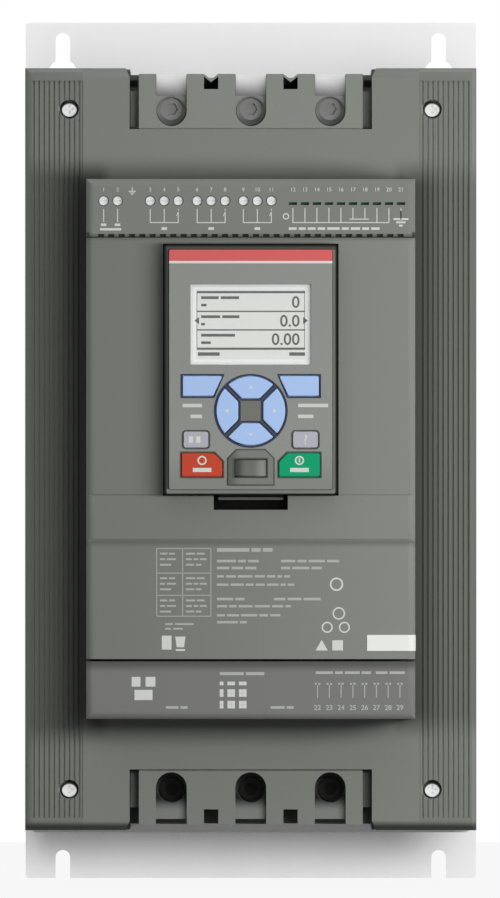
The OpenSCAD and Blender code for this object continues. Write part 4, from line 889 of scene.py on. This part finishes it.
# Painted shadow round the flap, widest at its left and top.
flap_gap = [(-7.0, -4.5), (7.0, -4.5), (7.0, -12.3), (-7.0, -12.3)]
flap_rim = [(-7.9, -3.8), (7.5, -3.8), (7.5, -12.6), (-7.9, -12.6)]
frame_of(shape, FLAP_FRAME, flap_gap, flap_rim)
piece("key_shade_lines", shape, "keypad", shade_ink)
face_ink = finish("face_ink", srgb(206, 207, 203), roughness=0.6, cloud=0.05, cloud_scale=200.0)
shape = bmesh.new()
for x, z, length in ((-29.4, 18.7, 8.4), (-26.0, 14.0, 5.0), (20.4, 18.7, 13.0), (20.4, 14.0, 6.6)):
    words(shape, FACE, x, z, [length], 1.5)
piece("keypad_words", shape, "keypad", face_ink)


def key_sign(key, shape):
    """White ink on the top of one key, which moves with it."""
    piece(key + "_sign", shape, key + "_body", white_ink)


for quarter, key in enumerate(("nav_up", "nav_left", "nav_down", "nav_right")):
    shape = bmesh.new()
    prism(shape, turned([(-1.0, 9.6), (1.0, 9.6), (0, 11.2)], quarter), TOP)
    key_sign(key, shape)
shape = bmesh.new()
for x in (-25.8, -22.6):
    bar(shape, TOP, x - 0.9, 2.6, x + 0.9, 5.4)
key_sign("mode_key", shape)
shape = bmesh.new()
digits(shape, TOP, "?", 23.6, 4.0, 4.0)
key_sign("info_key", shape)
for key, x in (("stop_key", -21.0), ("start_key", 21.0)):
    shape = bmesh.new()
    ring(shape, TOP, x, -5.0, 2.0, 1.35)
    if key == "start_key":
        bar(shape, TOP, x - 0.35, -5.9, x + 0.35, -4.1)
    bar(shape, TOP, x - 4.0, -10.0, x + 4.0, -8.2)
    key_sign(key, shape)

# Studio: a pale floor under the plate, white all round for the eye.
# A wide soft lamp stands in front, to the right and a little above; a white ceiling fills in.


def shown_white(tree):
    """1 for rays from the eye, and for those that metal and glass send on."""
    rays = tree.nodes.new("ShaderNodeLightPath")
    shown = math_node(tree, "MAXIMUM", rays.outputs["Is Camera Ray"], rays.outputs["Is Glossy Ray"])
    return math_node(tree, "MAXIMUM", shown, rays.outputs["Is Transmission Ray"])


def mixed(tree, share, first, second):
    """A mix of two shaders, all of the second where the share is 1."""
    mix = tree.nodes.new("ShaderNodeMixShader")
    tree.links.new(share, mix.inputs["Fac"])
    tree.links.new(first.outputs[0], mix.inputs[1])
    tree.links.new(second.outputs[0], mix.inputs[2])
    return mix.outputs[0]


floor_mesh = bpy.data.meshes.new("floor")
shape = bmesh.new()
bmesh.ops.create_grid(shape, x_segments=1, y_segments=1, size=1.2)
bmesh.ops.translate(shape, verts=shape.verts, vec=(0, -0.2, cad_box[0][2] - 0.001))
shape.to_mesh(floor_mesh)
shape.free()
floor = bpy.data.objects.new("floor", floor_mesh)
bpy.context.scene.collection.objects.link(floor)
floor_pale = bpy.data.materials.new("floor_pale")
floor_pale.use_nodes = True
tree = floor_pale.node_tree
paint = tree.nodes["Principled BSDF"]
paint.inputs["Base Color"].default_value = srgb(80, 80, 80)
paint.inputs["Roughness"].default_value = 0.9
glow = tree.nodes.new("ShaderNodeEmission")
glow.inputs["Color"].default_value = (1, 1, 1, 1)
share = math_node(tree, "MULTIPLY", shown_white(tree), 0.92)
tree.links.new(mixed(tree, share, paint, glow), tree.nodes["Material Output"].inputs["Surface"])
floor_mesh.materials.append(floor_pale)

world = bpy.data.worlds.new("studio")
world.use_nodes = True
bpy.context.scene.world = world
tree = world.node_tree
tree.nodes.clear()
ceiling = tree.nodes.new("ShaderNodeBackground")
ceiling.inputs["Color"].default_value = (1, 1, 1, 1)
rising = math_node(tree, "MULTIPLY", axes(tree)["Z"], 0.75)
sky = math_node(tree, "MAXIMUM", math_node(tree, "ADD", rising, 0.08), 0.04)
tree.links.new(sky, ceiling.inputs["Strength"])
white = tree.nodes.new("ShaderNodeBackground")
white.inputs["Color"].default_value = (1, 1, 1, 1)
white.inputs["Strength"].default_value = 1.0
output = tree.nodes.new("ShaderNodeOutputWorld")
tree.links.new(mixed(tree, shown_white(tree), ceiling, white), output.inputs["Surface"])

lamp = bpy.data.lights.new("key_lamp", "AREA")
lamp.shape = "RECTANGLE"
lamp.size = 0.8
lamp.size_y = 0.16
lamp.energy = 6.7
holder = bpy.data.objects.new("key_lamp", lamp)
holder.location = (0.46, -1.02, 0.022)
holder.visible_glossy = False
holder.rotation_euler = (Vector((0, -0.2, 0)) - holder.location).to_track_quat("-Z", "Y").to_euler()
bpy.context.scene.collection.objects.link(holder)

# Camera: far away with a long lens, square on to the front and a little under its middle.
# The shift brings the part to its place in the photograph's frame.
camera_data = bpy.data.cameras.new("camera")
camera_data.lens = 800
camera_data.sensor_width = 36
camera_data.clip_end = 100
camera_data.shift_y = 0.0601
camera = bpy.data.objects.new("camera", camera_data)
camera.location = (-0.00033, -8.87, -0.02333)
camera.rotation_euler = (math.radians(90), 0, 0)
bpy.context.scene.collection.objects.link(camera)
bpy.context.scene.camera = camera
bpy.context.scene.view_settings.view_transform = "Standard"
